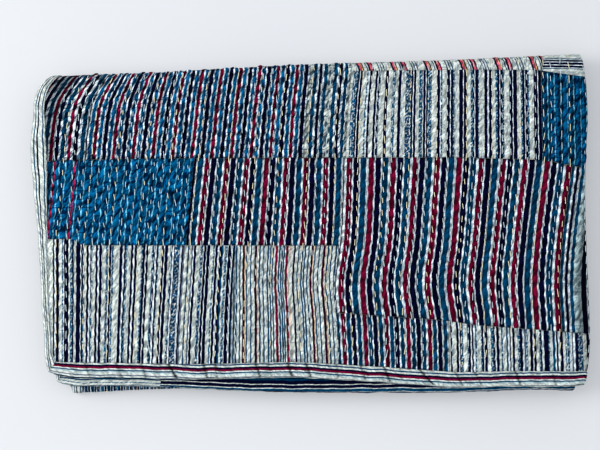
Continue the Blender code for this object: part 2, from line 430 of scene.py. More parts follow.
    def lie_of(self, across: Array, along: Array, lift: Array) -> tuple[Array, Array]:
        """X of a place and its offset from the middle of its run, before it settles.

        Args:
            across: Length across.
            along: Length along.
            lift: Height off the middle of the cloth, towards its face.

        Returns:
            X and the offset.
        """
        x = np.minimum(across, self.half_width - self.face_radius)
        for _ in range(FIT_ROUNDS):
            leg, share = self.leg_share(x, along)
            turn_x = self.turn_x(leg, share)
            past = across - turn_x
            turn = np.clip(past / self.face_radius, 0, math.pi)
            round_it = (self.ply_radius + lift) * np.sin(turn)
            under = np.maximum(past - self.fold_length, 0)
            x = np.where(past <= 0, across, turn_x + round_it - under)
        return x, (self.ply_radius + lift) * np.cos(turn)

    def x_of(self, across: Array, along: Array) -> Array:
        """X of a place on the middle of the cloth, before it settles."""
        return self.lie_of(across, along, 0 * along)[0]

    def place(self, across: Array, along: Array, lift: Array) -> Array:
        """The settled points at those places of the cloth.

        Args:
            across: Length across.
            along: Length along.
            lift: Height off the middle of the cloth, towards its face.

        Returns:
            Points in metres, in a last axis of three.
        """
        across, along, lift = np.broadcast_arrays(across, along, lift)
        x, offset = self.lie_of(across, along, lift)
        y, z, way_y, way_z = self.path(x, along)
        settled = self.settle(x, y + way_y * offset, z + way_z * offset)
        return np.stack([part * MM + by for part, by in zip(settled, self.moved)], axis=-1)

    def nominal(self, across: Array, along: Array) -> tuple[Array, Array]:
        """X and y of a place before it settles, on the middle of the run."""
        x = self.x_of(across, along)
        return x, self.path(x, along)[0]

    def line_of(self, grain: Array, y: Array) -> Array:
        """Settled x of a thread that lies at grain on the grain line, where it reaches y."""
        depths = [BOW.eased("depth", name, y) for name in ("edge", "left", "middle", "right", "fold")]
        at = np.clip(grain, BOW_ACROSS[0], BOW_ACROSS[-1])
        i = np.clip(np.searchsorted(BOW_ACROSS, at) - 1, 0, len(BOW_ACROSS) - 2)
        t = (at - BOW_ACROSS[i]) / (BOW_ACROSS[i + 1] - BOW_ACROSS[i])
        t = t * t * (3 - 2 * t)
        bow = np.choose(i, depths[:-1]) * (1 - t) + np.choose(i, depths[1:]) * t
        return grain + bow

    def grain_at(self, x: Array, y: Array) -> Array:
        """The thread that lies at a place, named by its x on the grain line.

        Args:
            x: Position across, before it settles.
            y: Position to the back, before it settles.

        Returns:
            The thread's place on the grain line.
        """
        goal = self.settle(x, y, 0 * x)[0]
        grain = x + 0.0
        for _ in range(GRAIN_ROUNDS):
            grain = grain + goal - self.line_of(grain, y)
        return grain

    def across_at(self, grain: Array, along: Array) -> Array:
        """Where a thread lies across the cloth, on an outer ply.

        Args:
            grain: The thread's place on the grain line.
            along: Length along.

        Returns:
            The length across.
        """
        grain, along = np.broadcast_arrays(grain, along)
        y = self.path(np.clip(grain, -self.half_width, self.half_width), along)[0]
        goal = self.line_of(grain, y)
        x = grain + 0.0
        for _ in range(ACROSS_ROUNDS):
            x = x + goal - self.settle(x, y, 0 * x)[0]
        return x

    def thread_at(self, across: Array, along: Array) -> Array:
        """The thread at a place, carried on evenly past the start of the side fold."""
        x, y = self.nominal(across, along)
        leg, share = self.leg_share(x, along)
        turn_x = self.turn_x(leg, share)
        flat = np.minimum(across, turn_x)
        return self.grain_at(flat, y) + np.maximum(across - turn_x, 0)


# ---- irregular waves: the wavelength in millimetres and the seed of each set ----
BEAT_WAVES, BROAD_SWELL, SHORT_SWELL, FINE_WAVES = (31.0, 8), (40.0, 3), (15.0, 4), (9.0, 11)
STRIP_WAVES, STRIP_FINE, SIDE_WAVES = (15.0, 21), (6.0, 22), (24.0, 31)
END_WAVES, END_FINE = (30.0, 41), (9.0, 42)


def ripple(across: Array, along: Array, length: float, seed: int) -> Array:
    """Smooth irregular waves over the cloth.

    Args:
        across: Length across.
        along: Length along.
        length: Wavelength, in millimetres.
        seed: Which set of waves.

    Returns:
        Values mostly between -1 and 1.
    """
    rng = np.random.default_rng(seed)
    total = 0.0
    waves = 9
    for k in range(waves):
        heading = math.pi * (k + rng.random()) / waves
        number = 2 * math.pi / (length * rng.uniform(0.7, 1.4))
        phase = rng.uniform(0, 2 * math.pi)
        total = total + np.cos(number * (across * math.cos(heading) + along * math.sin(heading)) + phase)
    return total / math.sqrt(waves)


# ---- creases pressed into the top of the bundle, each from x, y to the other end ----
CREASES = Table(
    "x y to_x to_y width depth",
    (180, 142, 208, 174, 1.3, 0.55),
    (167, 138, 207, 144, 1.2, 0.4),
    (225, 152, 232, 144, 1.2, 0.4),
    (259, 129, 316, 130, 1.5, 0.45),
    (196, 111, 210, 113, 1.1, 0.35),
    (222, 113, 231, 108, 1.1, 0.35),
    (-286, -90, -280, -83, 1.3, 0.5),
    (-262, -95, -255, -72, 1.5, 0.6),
    (-20, -88, -8, -76, 1.2, 0.45),
    (95, -133, 106, -146, 1.2, 0.45),
    (40, -152, 56, -163, 1.2, 0.45),
    (165, -128, 190, -162, 1.8, 0.55),
    (180, -126, 204, -160, 1.8, 0.5),
    (-225, 96, -120, 150, 4, 0.45),
    (30, 60, 120, 20, 5, 0.4),
)


@dataclass(frozen=True)
class StitchPlan:
    """Rows of running stitch, and how they draw the cloth into ripples."""

    cloth: FoldedCloth
    first: float = -296.0
    last: float = 338.0
    spacing: float = 10.4
    unevenness: float = 0.20
    pitch: float = 14.6
    slips: tuple[tuple[float, float, float], ...] = ((3.0, 61.0, 0.0), (1.8, 23.0, 1.0))
    seed: int = 7
    rows: Array = field(init=False)
    phases: Array = field(init=False)
    leans: Array = field(init=False)

    def __post_init__(self) -> None:
        """Lays out the rows and where the stitches of each start."""
        rng = np.random.default_rng(self.seed)
        count = int((self.last - self.first) / self.spacing)
        steps = self.spacing * (1 + self.unevenness * rng.uniform(-1, 1, count))
        rows = self.first + np.cumsum(np.concatenate([[0.0], steps]))
        phases = np.cumsum(rng.uniform(0.36, 0.86, len(rows)))
        object.__setattr__(self, "rows", rows)
        object.__setattr__(self, "phases", phases)
        object.__setattr__(self, "leans", np.diff(phases))

    def wander(self, along: Array) -> Array:
        """How far the stitches slip along their row there."""
        return sum(reach * np.sin(along / length + start) for reach, length, start in self.slips)

    def beat(self, grain: Array, along: Array) -> tuple[Array, Array]:
        """Where a place lies between two rows and two stitches.

        Args:
            grain: The thread's place on the grain line.
            along: Length along.

        Returns:
            The share of the way from one row to the next, and the turn of the ripple.
        """
        i = np.clip(np.searchsorted(self.rows, grain) - 1, 0, len(self.rows) - 2)
        t = np.clip((grain - self.rows[i]) / (self.rows[i + 1] - self.rows[i]), 0, 1)
        phase = self.phases[i] + t * self.leans[i]
        turn = 2 * math.pi * ((along + self.wander(along)) / self.pitch - phase)
        return t, turn + 0.8 * ripple(grain, along, *BEAT_WAVES)

    def pucker(self, grain: Array, along: Array) -> Array:
        """Height of the ripples: 0 in the trough along a row, about 1 on a crest."""
        t, turn = self.beat(grain, along)
        swell = 0.80 + 0.24 * ripple(grain, along, *BROAD_SWELL)
        swell = swell + 0.24 * ripple(grain, along, *SHORT_SWELL)
        crest = np.sin(math.pi * t) ** 0.75
        return np.clip(swell, 0.25, 1.5) * crest * (0.58 - 0.42 * np.cos(turn))

    def sway(self, grain: Array, along: Array) -> Array:
        """How far the ripples push the threads sideways, in millimetres."""
        t, turn = self.beat(grain, along)
        return 0.45 * np.sin(turn + 0.6) * (0.45 + 0.55 * np.sin(math.pi * t))

    def places(self, start: float, end: float) -> tuple[Array, Array]:
        """The middles of the stitches between two lengths along the cloth.

        Args:
            start: Where they begin.
            end: Where they end.

        Returns:
            The thread that each lies on, and its length along.
        """
        grains, alongs = [], []
        for row, phase in zip(self.rows, self.phases):
            count = np.arange(math.floor(start / self.pitch) - 2, math.ceil(end / self.pitch) + 3)
            goal = (count + phase % 1.0) * self.pitch
            along = goal + 0.0
            for _ in range(SLIP_ROUNDS):
                along = goal - self.wander(along)
            along = along[(along > start) & (along < end)]
            grains.append(np.full(len(along), row))
            alongs.append(along)
        return np.concatenate(grains), np.concatenate(alongs)

    def tint(self, grain: Array) -> Array:
        """How yellow the thread of each stitch has gone: every third row is the yellowest."""
        return np.array([0.0, 0.9, 0.1])[np.searchsorted(self.rows, grain) % 3]


def creased(x: Array, y: Array) -> Array:
    """How far the pressed creases lower the cloth there, in millimetres."""
    total = 0.0
    for x0, y0, x1, y1, width, depth in CREASES.rows():
        reach = math.hypot(x1 - x0, y1 - y0)
        way_x, way_y = (x1 - x0) / reach, (y1 - y0) / reach
        along = (x - x0) * way_x + (y - y0) * way_y
        side = (y - y0) * way_x - (x - x0) * way_y
        fade = np.clip(1.15 - np.abs(along / reach * 2 - 1), 0, 1)
        total = total + depth * fade * np.exp(-((side / width) ** 2))
        total = total - 0.6 * depth * fade * np.exp(-((side / width - 2) ** 2))
    return total


# ---- node trees ----
Socket = bpy.types.NodeSocket
Inputs = dict[str | int, object]


class Wiring:
    """Adds nodes to one tree and links them."""

    def __init__(self, tree: bpy.types.NodeTree) -> None:
        """Works on that tree."""
        self.tree = tree

    def fill(self, node: bpy.types.Node, inputs: Inputs) -> None:
        """Gives each of those inputs of a node its value, or links it to its socket."""
        for name, value in inputs.items():
            if isinstance(value, Socket):
                self.tree.links.new(value, node.inputs[name])
            else:
                node.inputs[name].default_value = value

    def node(self, kind: str, inputs: Inputs | None = None, **settings: object) -> bpy.types.Node:
        """Adds a node.

        Args:
            kind: The node's type.
            inputs: A value or a socket for each input, by name or number.
            settings: Properties of the node.

        Returns:
            The node.
        """
        made = self.tree.nodes.new(kind)
        for name, value in settings.items():
            setattr(made, name, value)
        self.fill(made, inputs or {})
        return made

    def axes(self, vector: Socket) -> tuple[Socket, Socket]:
        """The first two parts of a vector."""
        return tuple(self.node("ShaderNodeSeparateXYZ", {0: vector}).outputs[:2])

    def math(self, kind: str, *values: object) -> Socket:
        """One Math node over the values, and its result."""
        return self.node("ShaderNodeMath", dict(enumerate(values)), operation=kind).outputs[0]

    def blend(self, share: object, first: object, second: object, kind: str = "MIX") -> Socket:
        """Two colours mixed.

        Args:
            share: How much of the second.
            first: A colour.
            second: A colour.
            kind: The way of mixing.

        Returns:
            The mixed colour.
        """
        made = self.node("ShaderNodeMix", data_type="RGBA", blend_type=kind)
        for name, value in (("Factor_Float", share), ("A_Color", first), ("B_Color", second)):
            socket = next(s for s in made.inputs if s.identifier == name)
            if isinstance(value, Socket):
                self.tree.links.new(value, socket)
            else:
                socket.default_value = value
        return next(s for s in made.outputs if s.identifier == "Result_Color")

    def stretched(self, u: Socket, v: Socket, across: float, along: float, lean: float = 0.0) -> Socket:
        """A vector of the two cloth coordinates, each in units of its own length.

        Args:
            u: Across the threads, in metres.
            v: Along the threads, in metres.
            across: Length of a unit across, in metres.
            along: Length of a unit along, in metres.
            lean: How far the pattern leans to the right as it goes up.

        Returns:
            The vector.
        """
        leant = self.math("MULTIPLY_ADD", v, -lean, u)
        parts = {0: self.math("DIVIDE", leant, across), 1: self.math("DIVIDE", v, along)}
        return self.node("ShaderNodeCombineXYZ", parts).outputs[0]

    def noise(self, vector: Socket, detail: float = 2.0, roughness: float = 0.5) -> Socket:
        """Noise from 0 to 1 over that vector."""
        inputs = {"Vector": vector, "Scale": 1.0, "Detail": detail, "Roughness": roughness}
        return self.node("ShaderNodeTexNoise", inputs).outputs[0]

    def ranged(self, value: Socket, low: float, high: float, to_low: float, to_high: float) -> Socket:
        """The value moved from one range to another, and held within it."""
        inputs = {0: value, 1: low, 2: high, 3: to_low, 4: to_high}
        return self.node("ShaderNodeMapRange", inputs).outputs[0]


def shader_group(
    name: str, inputs: dict[str, tuple[str, float]], outputs: dict[str, str]
) -> tuple[Wiring, bpy.types.Node, bpy.types.Node]:
    """Starts a shader node group.

    Args:
        name: The group's name.
        inputs: Type and first value of each input.
        outputs: Type of each output.

    Returns:
        The group's wiring, its input node and its output node.
    """
    tree = bpy.data.node_groups.new(name, "ShaderNodeTree")
    for label, (kind, value) in inputs.items():
        socket = tree.interface.new_socket(name=label, in_out="INPUT", socket_type=f"NodeSocket{kind}")
        if kind == "Float":
            socket.default_value = value
    for label, kind in outputs.items():
        tree.interface.new_socket(name=label, in_out="OUTPUT", socket_type=f"NodeSocket{kind}")
    wiring = Wiring(tree)
    return wiring, wiring.node("NodeGroupInput"), wiring.node("NodeGroupOutput")


def new_material(name: str) -> tuple[bpy.types.Material, Wiring, bpy.types.Node]:
    """A plain material, with its wiring and its shader."""
    made = bpy.data.materials.new(name)
    made.use_nodes = True
    return made, Wiring(made.node_tree), made.node_tree.nodes["Principled BSDF"]


def uneven_stripe_group() -> None:
    """Where a place lies in the repeat of a stripe whose edges waver, as hand-pulled prints do."""
    wiring, given, out = shader_group(
        "uneven_stripe",
        {"Cloth": ("Vector", 0), "Repeat": ("Float", 0.02), "Waver": ("Float", 0.0004)},
        {"Share": "Float", "Gaps": "Float"},
    )
    u, v = wiring.axes(given.outputs["Cloth"])
    slow = wiring.noise(wiring.stretched(u, v, 0.011, 0.016), 1.0)
    fine = wiring.noise(wiring.stretched(u, v, 0.0014, 0.0022), 1.0)
    both = wiring.math("ADD", wiring.math("MULTIPLY", slow, 1.4), wiring.math("MULTIPLY", fine, 0.6))
    push = wiring.math("MULTIPLY", wiring.math("SUBTRACT", both, 1.0), given.outputs["Waver"])
    moved = wiring.math("ADD", u, push)
    share = wiring.math("FRACT", wiring.math("DIVIDE", moved, given.outputs["Repeat"]))
    dots = wiring.noise(wiring.stretched(u, v, 0.0019, 0.0030, 0.35), 2.0, 0.6)
    wiring.fill(out, {"Share": share, "Gaps": wiring.ranged(dots, 0.52, 0.60, 0.0, 1.0)})


def cotton_tone_and_shade_group() -> None:
    """Cotton's colour: slubs and blotches of uneven tone as washing leaves them, with shade painted into
    the furrows between ripples and into the creases of the crumples.
    """
    wiring, given, out = shader_group(
        "cotton_tone_and_shade",
        {
            "Colour": ("Color", 0),
            "Cloth": ("Vector", 0),
            "Ridge": ("Float", 0.5),
            "Crease": ("Float", 0.0),
            "Slub": ("Float", 0.25),
            "Furrow Shade": ("Float", 0.4),
            "Crease Shade": ("Float", 0.2),
        },
        {"Colour": "Color"},
    )
    u, v = wiring.axes(given.outputs["Cloth"])
    slub = wiring.noise(wiring.stretched(u, v, 0.0009, 0.012), 2.0)
    blotch = wiring.noise(wiring.stretched(u, v, 0.0045, 0.010, 0.5), 3.0)
    both = wiring.math("MULTIPLY_ADD", blotch, 1.6, wiring.math("MULTIPLY", slub, 0.8))
    gain = wiring.math("MULTIPLY_ADD", wiring.math("SUBTRACT", both, 1.2), given.outputs["Slub"], 1.0)
    # Painted shade: the colour darkens towards the furrows between ripples, where the ridge value falls.
    away = wiring.math("SUBTRACT", 1.0, given.outputs["Ridge"])
    away = wiring.math("POWER", wiring.math("MAXIMUM", away, 0.0), 1.5)
    furrow_darkening = wiring.math("SUBTRACT", 1.0, wiring.math("MULTIPLY", away, given.outputs["Furrow Shade"]))
    level = wiring.math("MAXIMUM", wiring.math("MULTIPLY", gain, furrow_darkening), 0.05)
    grey = wiring.node("ShaderNodeCombineColor", {0: level, 1: level, 2: level}).outputs[0]
    shaded = wiring.blend(1.0, given.outputs["Colour"], grey, "MULTIPLY")
    # Painted shade in the creases: where the Crease mask marks the valleys of the bump's crumples, the
    # colour is multiplied by a dark blue-grey.
    crease_shade_colour = wiring.blend(1.0, shaded, (0.05, 0.12, 0.19, 1.0), "MULTIPLY")
    crease_shade = wiring.math("MULTIPLY", given.outputs["Crease"], given.outputs["Crease Shade"])
    tone_and_shade = wiring.blend(crease_shade, shaded, crease_shade_colour)
    held = wiring.blend(1.0, tone_and_shade, (0.95, 0.95, 0.95, 1.0), "DARKEN")
    wiring.fill(out, {"Colour": held})


def cotton_surface_group() -> None:
    """Height, creases and roughness of plain-woven cotton drawn into fine slanting crumples."""
    wiring, given, out = shader_group(
        "cotton_surface",
        {"Cloth": ("Vector", 0), "Weave": ("Float", 0.06), "Crumple": ("Float", 0.8)},
        {"Height": "Float", "Crease": "Float", "Roughness": "Float"},
    )
    u, v = wiring.axes(given.outputs["Cloth"])
    yarn = 0.0006
    warp = wiring.math("SINE", wiring.math("MULTIPLY", u, 2 * math.pi / yarn))
    weft = wiring.math("SINE", wiring.math("MULTIPLY", v, 2 * math.pi / yarn))
    weave = wiring.math("MULTIPLY", wiring.math("MULTIPLY", warp, weft), given.outputs["Weave"])
    dents = wiring.noise(wiring.stretched(u, v, 0.0038, 0.0105, 0.35), 1.0, 0.4)
    folds = wiring.noise(wiring.stretched(u, v, 0.0060, 0.0100, 0.8), 0.0)
    away = wiring.math("ABSOLUTE", wiring.math("MULTIPLY_ADD", folds, 2.0, -1.0))
    sharp = wiring.math("MINIMUM", away, 0.4)
    rough = wiring.math("MULTIPLY_ADD", sharp, 1.0, wiring.math("MULTIPLY", dents, 2.2))
    # The Crease mask marks the bottoms of these fold lines and dents; the cotton's colour has shade
    # painted in there.
    lines = wiring.ranged(away, 0.03, 0.10, 0.9, 0.0)
    pits = wiring.ranged(dents, 0.41, 0.47, 1.0, 0.0)
    results = {
        "Height": wiring.math("MULTIPLY_ADD", rough, given.outputs["Crumple"], weave),
        "Crease": wiring.math("MAXIMUM", lines, pits),
        "Roughness": wiring.ranged(rough, 0.0, 1.6, 0.82, 0.94),
    }
    wiring.fill(out, results)


# ---- colours ----
def srgb(red: int, green: int, blue: int) -> tuple[float, float, float, float]:
    """A display colour, from 0 to 255, as Blender's linear one."""
    parts = [part / 255 for part in (red, green, blue)]
    return (*(p / 12.92 if p <= 0.04045 else ((p + 0.055) / 1.055) ** 2.4 for p in parts), 1.0)


class Dye(Enum):
    """Colours of the cottons, each with its letter in the charts."""

    CREAM = ("C", srgb(222, 228, 220))
    WHITE = ("W", srgb(236, 246, 248))
    PALE = ("P", srgb(186, 206, 206))
    GREY = ("G", srgb(104, 114, 130))
    NAVY = ("N", srgb(11, 15, 50))
    TEAL = ("T", srgb(6, 76, 110))
    AQUA = ("A", srgb(134, 202, 222))
    BLUE = ("B", srgb(4, 102, 148))
    MAROON = ("M", srgb(122, 16, 56))
    WINE = ("V", srgb(56, 12, 38))
    ROSE = ("L", srgb(178, 38, 82))
    SALMON = ("S", srgb(240, 112, 132))
    PEACH = ("E", srgb(228, 192, 160))
    GOLD = ("O", srgb(222, 196, 128))
    DOTS = ("D", srgb(8, 90, 128))
    IKAT = ("K", srgb(6, 72, 110))

    @property
    def shade(self) -> tuple[float, ...]:
        """The colour itself."""
        return self.value[1]


BROKEN_DYES = (Dye.DOTS, Dye.IKAT)
LETTERS = {dye.value[0]: dye for dye in Dye}


def charted(chart: str, scale: float = 1.0, bold: float = 0.0) -> tuple[tuple[Dye, float], ...]:
    """Reads a chart of stripes: the letter of a dye and a width in millimetres for each stripe.

    Args:
        chart: The marks, separated by spaces.
        scale: What the widths are multiplied by.
        bold: How far the navy stripes spread over the cream beside them.

    Returns:
        A dye and a width for each stripe.
    """
    dyes = [LETTERS[mark[0]] for mark in chart.split()]
    widths = [float(mark[1:]) * scale for mark in chart.split()]
    for i, j in [(i, j) for i in range(1, len(dyes) - 1) for j in (i - 1, i + 1)]:
        if dyes[i] is Dye.NAVY and dyes[j] is Dye.CREAM:
            widths[i], widths[j] = widths[i] + bold, widths[j] - bold
    return tuple(zip(dyes, widths))


@dataclass(frozen=True)
class StripedCotton:
    """A printed cotton: its stripes in order, its slubs, and how much shade is painted into its furrows
    and creases.
    """

    name: str
    stripes: tuple[tuple[Dye, float], ...]
    waver: float = 0.45
    slub: float = 0.7
    # Shade painted into the furrows between ripples, and into the crumples' creases.
    furrow_shade: float = 0.8
    crease_shade: float = 0.95
    threads: tuple[tuple[float, float, Dye], ...] = ()

    @property
    def repeat(self) -> float:
        """Width of one repeat, in millimetres."""
        return sum(width for _, width in self.stripes)

    def ramp(self, wiring: Wiring, share: Socket) -> tuple[Socket, Socket]:
        """The stripes as colour ramps over the repeat, as many as a long chart needs.

        Args:
            wiring: The material's wiring.
            share: Where a place lies in the repeat.

        Returns:
            The colour, and a mask of where the dye is broken into dots.
        """
        stops, at = [], 0.0
        for dye, width in self.stripes:
            stops.append((at / self.repeat, (*dye.shade[:3], float(dye in BROKEN_DYES))))
            at += width
        colour = mask = None
        for first in range(0, len(stops), 30):
            node = wiring.node("ShaderNodeValToRGB", {0: share})
            node.color_ramp.interpolation = "CONSTANT"
            elements = node.color_ramp.elements
            elements.remove(elements[1])
            for number, (place, shade) in enumerate(stops[first : first + 30]):
                stop = elements.new(place) if number else elements[0]
                stop.position, stop.color = place, shade
            if colour is None:
                colour, mask = node.outputs
                continue
            past = wiring.math("GREATER_THAN", share, stops[first][0])
            colour = wiring.blend(past, colour, node.outputs[0])
            more = wiring.math("SUBTRACT", node.outputs[1], mask)
            mask = wiring.math("MULTIPLY_ADD", past, more, mask)
        return colour, mask

    def material(self) -> bpy.types.Material:
        """The finish as a material.

        Returns:
            The material, made once and then shared.
        """
        known = bpy.data.materials.get(self.name)
        if known:
            return known
        made, wiring, shader = new_material(self.name)
        cloth = wiring.node("ShaderNodeUVMap", uv_map=CLOTH_MAP).outputs[0]
        ridge = wiring.node("ShaderNodeAttribute", attribute_name=RIDGE).outputs["Fac"]
        stripe, tone_and_shade, surface = (
            wiring.node("ShaderNodeGroup", node_tree=bpy.data.node_groups[name])
            for name in ("uneven_stripe", "cotton_tone_and_shade", "cotton_surface")
        )
        wiring.fill(stripe, {"Cloth": cloth, "Repeat": self.repeat * MM, "Waver": self.waver * MM})
        wiring.fill(surface, {"Cloth": cloth, "Crumple": 1.0})
        colour, mask = self.ramp(wiring, stripe.outputs["Share"])
        if any(dye in BROKEN_DYES for dye, _ in self.stripes):
            gaps = wiring.math("MULTIPLY", mask, stripe.outputs["Gaps"])
            colour = wiring.blend(gaps, colour, Dye.CREAM.shade)
        tone_and_shade_inputs = {
            "Cloth": cloth,
            "Colour": self.accents(wiring, cloth, colour),
            "Ridge": ridge,
            "Crease": surface.outputs["Crease"],
            "Slub": self.slub,
            "Furrow Shade": self.furrow_shade,
            "Crease Shade": self.crease_shade,
        }
        wiring.fill(tone_and_shade, tone_and_shade_inputs)
        relief = {"Strength": 1.0, "Distance": 0.0022, "Height": surface.outputs["Height"]}
        looks = {
            "Base Color": tone_and_shade.outputs["Colour"],
            "Roughness": surface.outputs["Roughness"],
            "Normal": wiring.node("ShaderNodeBump", relief).outputs[0],
            "Specular IOR Level": 0.02,
        }
        wiring.fill(shader, looks)
        return made

    def accents(self, wiring: Wiring, cloth: Socket, colour: Socket) -> Socket:
        """Single threads of another colour, which don't repeat.

        Args:
            wiring: The material's wiring.
            cloth: The cloth coordinates.
            colour: The colour under them.

        Returns:
            The colour with the threads over it.
        """
        if not self.threads:
            return colour
        across, _ = wiring.axes(cloth)
        for place, width, dye in self.threads:
            away = wiring.math("ABSOLUTE", wiring.math("SUBTRACT", across, place * MM))
            inside = wiring.math("LESS_THAN", away, width / 2 * MM)
            colour = wiring.blend(inside, colour, dye.shade)
        return colour


EDGE_RED = StripedCotton(
    "edge_red_stripe",
    charted("M4.0 W2.1 N4.4 W2.3 T4.9 W3.1 M4.0 W3.0 N4.6 W3.1 T4.6 W2.1"),
)
FINE_RED = StripedCotton("fine_red_stripe", charted("M3.9 W1.8 B3.9 W1.6 N4.4 W1.7 B3.9 W1.55"))
WIDE_TEAL = StripedCotton("wide_teal_stripe", charted("T4.0 W2.5 N3.5 W2.6 T3.9 C7.6"))
# Less shade painted into the furrows and creases of the pale cottons.
PALE_COTTON_SHADE = {"furrow_shade": 0.5, "crease_shade": 0.55}
OPEN_PAIRS = StripedCotton(
    "open_navy_pairs",
    charted(
        "D2.7 N2.0 W1.2 N1.9 C6.0 D1.8 W1.5 N2.0 C6.6 N1.6 W.8 N1.5 C.6 K5.3 C3.1"
        " N2.2 W1.0 C4.2 D3.9 C4.1 N2.4 W.9 C4.8 K7.0 N1.7 W1.0 N2.1 C.8 D3.8 C.6 D3.7 C1.7"
        " N1.7 W1.0 N2.1 D3.9 C7.2 N3.1 W.8 D2.0 C5.9"
        + 4 * " N2.6 W.9 N2.7 D1.7 C7.0 N2.9 W1.0 N2.9 C5.5 D2.0",
        bold=1.1,
    ),
    **PALE_COTTON_SHADE,
)
CLOSE_PAIRS = StripedCotton(
    "close_navy_pairs",
    charted(
        "N1.7 W1.1 N2.3 C4.7 D1.7 W1.1 N4.0 C2.6 D2.2 N1.2 C4.7 N3.5 W1.0 N1.9 D1.4 C3.8"
        " N1.8 W1.2 N1.5 D1.5 C4.4 N1.8 W1.4 N2.6 C5.2 D1.8 G1.0 W.9 N2.2 W.8 D1.8 C8.0"
        " N2.0 W1.5 N1.9 D1.9 C5.3 N1.7 W1.3 N1.7 C6.3 D1.7 N2.1 W1.4 N1.6 C5.1 D1.6 N1.7 W1.4 N1.8"
        " D1.6 C3.8 N1.5 W1.5 N1.6 C3.7 D1.7 N1.3 W1.5 N1.5 K5.2 W1.7 N1.8 G2.0 C3.0 T1.8 C2.6"
        " G1.4 W1.1 N1.6 C5.2 K3.2 C2.0 N1.7 W1.2 N1.8 C1.0 D1.8 C1.6 D1.8 C2.0 N1.9 W1.2 N1.6"
        " C1.4 T1.8 C1.5 D2.4 C2.4 N2.9 W1.1 N1.5 T1.2 C4.6 N1.7 C7.4",
        1.031,
        1.2,
    ),
    **PALE_COTTON_SHADE,
)
TEAL_AND_RED = StripedCotton(
    "teal_and_red_lines",
    charted(
        "V2.3 E.8 C.6 T1.7 C3.4 T1.4 C3.4 V2.7 C.4 E.8 C1.2 T1.6 C3.0 T1.4 C3.5 T1.6 C1.2 T1.6"
        " C1.2 T1.6 C2.0 M2.6 C1.3 T1.8 C.8 T1.8 C.7 T1.6 C1.3 M2.9 C1.5 E.9 C3.6 N2.1 C3.0 T1.4"
        " C2.9 T1.9 C.8 T1.9 C2.6 T1.4 C2.3",
        0.97,
    ),
    waver=0.35,
    **PALE_COTTON_SHADE,
)
MIDDLE_RED = StripedCotton("middle_red_stripe", charted("M5.5 W1.6 N5.8 W1.7 T6.0 W2.2"), crease_shade=0.7)
BOLD_RED = StripedCotton("bold_red_stripe", charted("M6.2 W1.8 N6.3 W1.8 T6.6 W2.8"), crease_shade=0.6)
BOLD_EDGE = StripedCotton(
    "bold_edge_stripe", charted("T3.3 W2.3 N3.4 W2.4 T3.8 P9.2 N6.0 W3.0"), crease_shade=0.65
)
FRONT_RED = StripedCotton(
    "front_red_stripe", charted("M4.6 W1.3 T4.3 W1.4 N4.7 W1.7 T4.4 W2.2"), crease_shade=0.7
)
RIGHT_PAIRS = StripedCotton(
    "right_navy_pairs",
    charted(
        "N1.6 W.8 C5.1 N1.6 W1.2 N1.5 D2.6 C4.5 D1.5 N2.5 W1.5 N1.8 W2.0 D1.6 C4.8 D1.6"
        " N1.7 W1.5 N2.5 C4.5 D3.2 N2.2 W1.5 N2.3 C3.6 D2.2 C3.9 T1.8 W1.7 N2.0 W1.5 N1.5 C4.5 D3.0"
        " N3.0 W2.0 G2.1 D1.6 C3.8 N2.1 W1.5 N1.7 C4.4 D1.6 N1.7 W2.0 N5.1 D1.6 C3.4 T2.5"
        " W1.5 N1.6 W2.3 N2.1 C3.5 D1.5 C1.0 D2.4 W2.5 N1.5 W2.0 N2.0 C1.0 K5.5 C5.0 N2.5 C2.0 N2.0 C6.0",
        1.05,
        1.0,
    ),
    **PALE_COTTON_SHADE,
)
PLAIN_BLUE = StripedCotton(
    "blue_with_aqua_lines", charted("B3.4 T2.9 A1.1 T2.2 B4.6 A1.0"), waver=0.8, slub=1.3
)
LINED_BLUE = StripedCotton(
    "blue_with_red_threads",
    charted("B6.3 A1.2 B6.6 A1.1"),
    waver=1.1,
    slub=1.6,
    threads=((-295.0, 2.2, Dye.ROSE), (-270.8, 2.2, Dye.ROSE)),
)
SALMON_STRIPE = StripedCotton(
    "salmon_stripe",
    charted("N2.0 S2.9 O.8 N1.2 C3.5 T1.2 C1.3 N2.0 S2.9 N1.2 C6.0 T1.1 C2.0 T1.1 C2.0 T1.1 C9.6"),
    furrow_shade=0.4,
    crease_shade=0.6,
)
CROSSWISE = StripedCotton(
    "crosswise_lines",
    charted("C5.6 T1.0 W1.0 N2.5 W1.1 N2.9 W1.1 N2.5 W1.1 T1.4 C12.8"),
    furrow_shade=0.4,
    crease_shade=0.5,
)
# For the strips: how far their stripes waver, and the shade painted into their dips and creases.
STRIP = {"waver": 0.4, "furrow_shade": 0.95, "crease_shade": 0.4}
END_STRIP = StripedCotton(
    "binding_red_line",
    charted("C1.1 T1.6 C1.9 N2.2 M2.3 C1.5 T1.4 P1.6 C2.6 G1.3 C1.9 T1.6 N1.0 C20"),
    **STRIP,
)
NAVY_STRIP = StripedCotton(
    "binding_navy", charted("T5.2 N4.2 C1.0 N3.5 C1.0 T3.4 C.7 V1.2 T12"), **STRIP
)
CREAM_STRIP = StripedCotton(
    "binding_cream", charted("C6.6 V1.1 C.7 T1.7 C2.6 D1.0 C2.4 T1.3 P12"), **STRIP
)
SIDE_STRIP = StripedCotton(
    "binding_teal_lines", charted("C1.4 T1.2 C3.5 N1.4 C1.6 T1.1 C2.6 T1.0 C12"), **STRIP
)
FINE_NAVY = StripedCotton(
    "fine_navy_stripe", charted("N2.4 W.9 T2.2 N1.5 W.7 T2.6 W.8 N2.0 D2.2 W.8 B2.2 V1.4 W.8"), crease_shade=0.5
)
UNDERCLOTH = StripedCotton("undercloth", charted("C8 P3 C14 P2"))


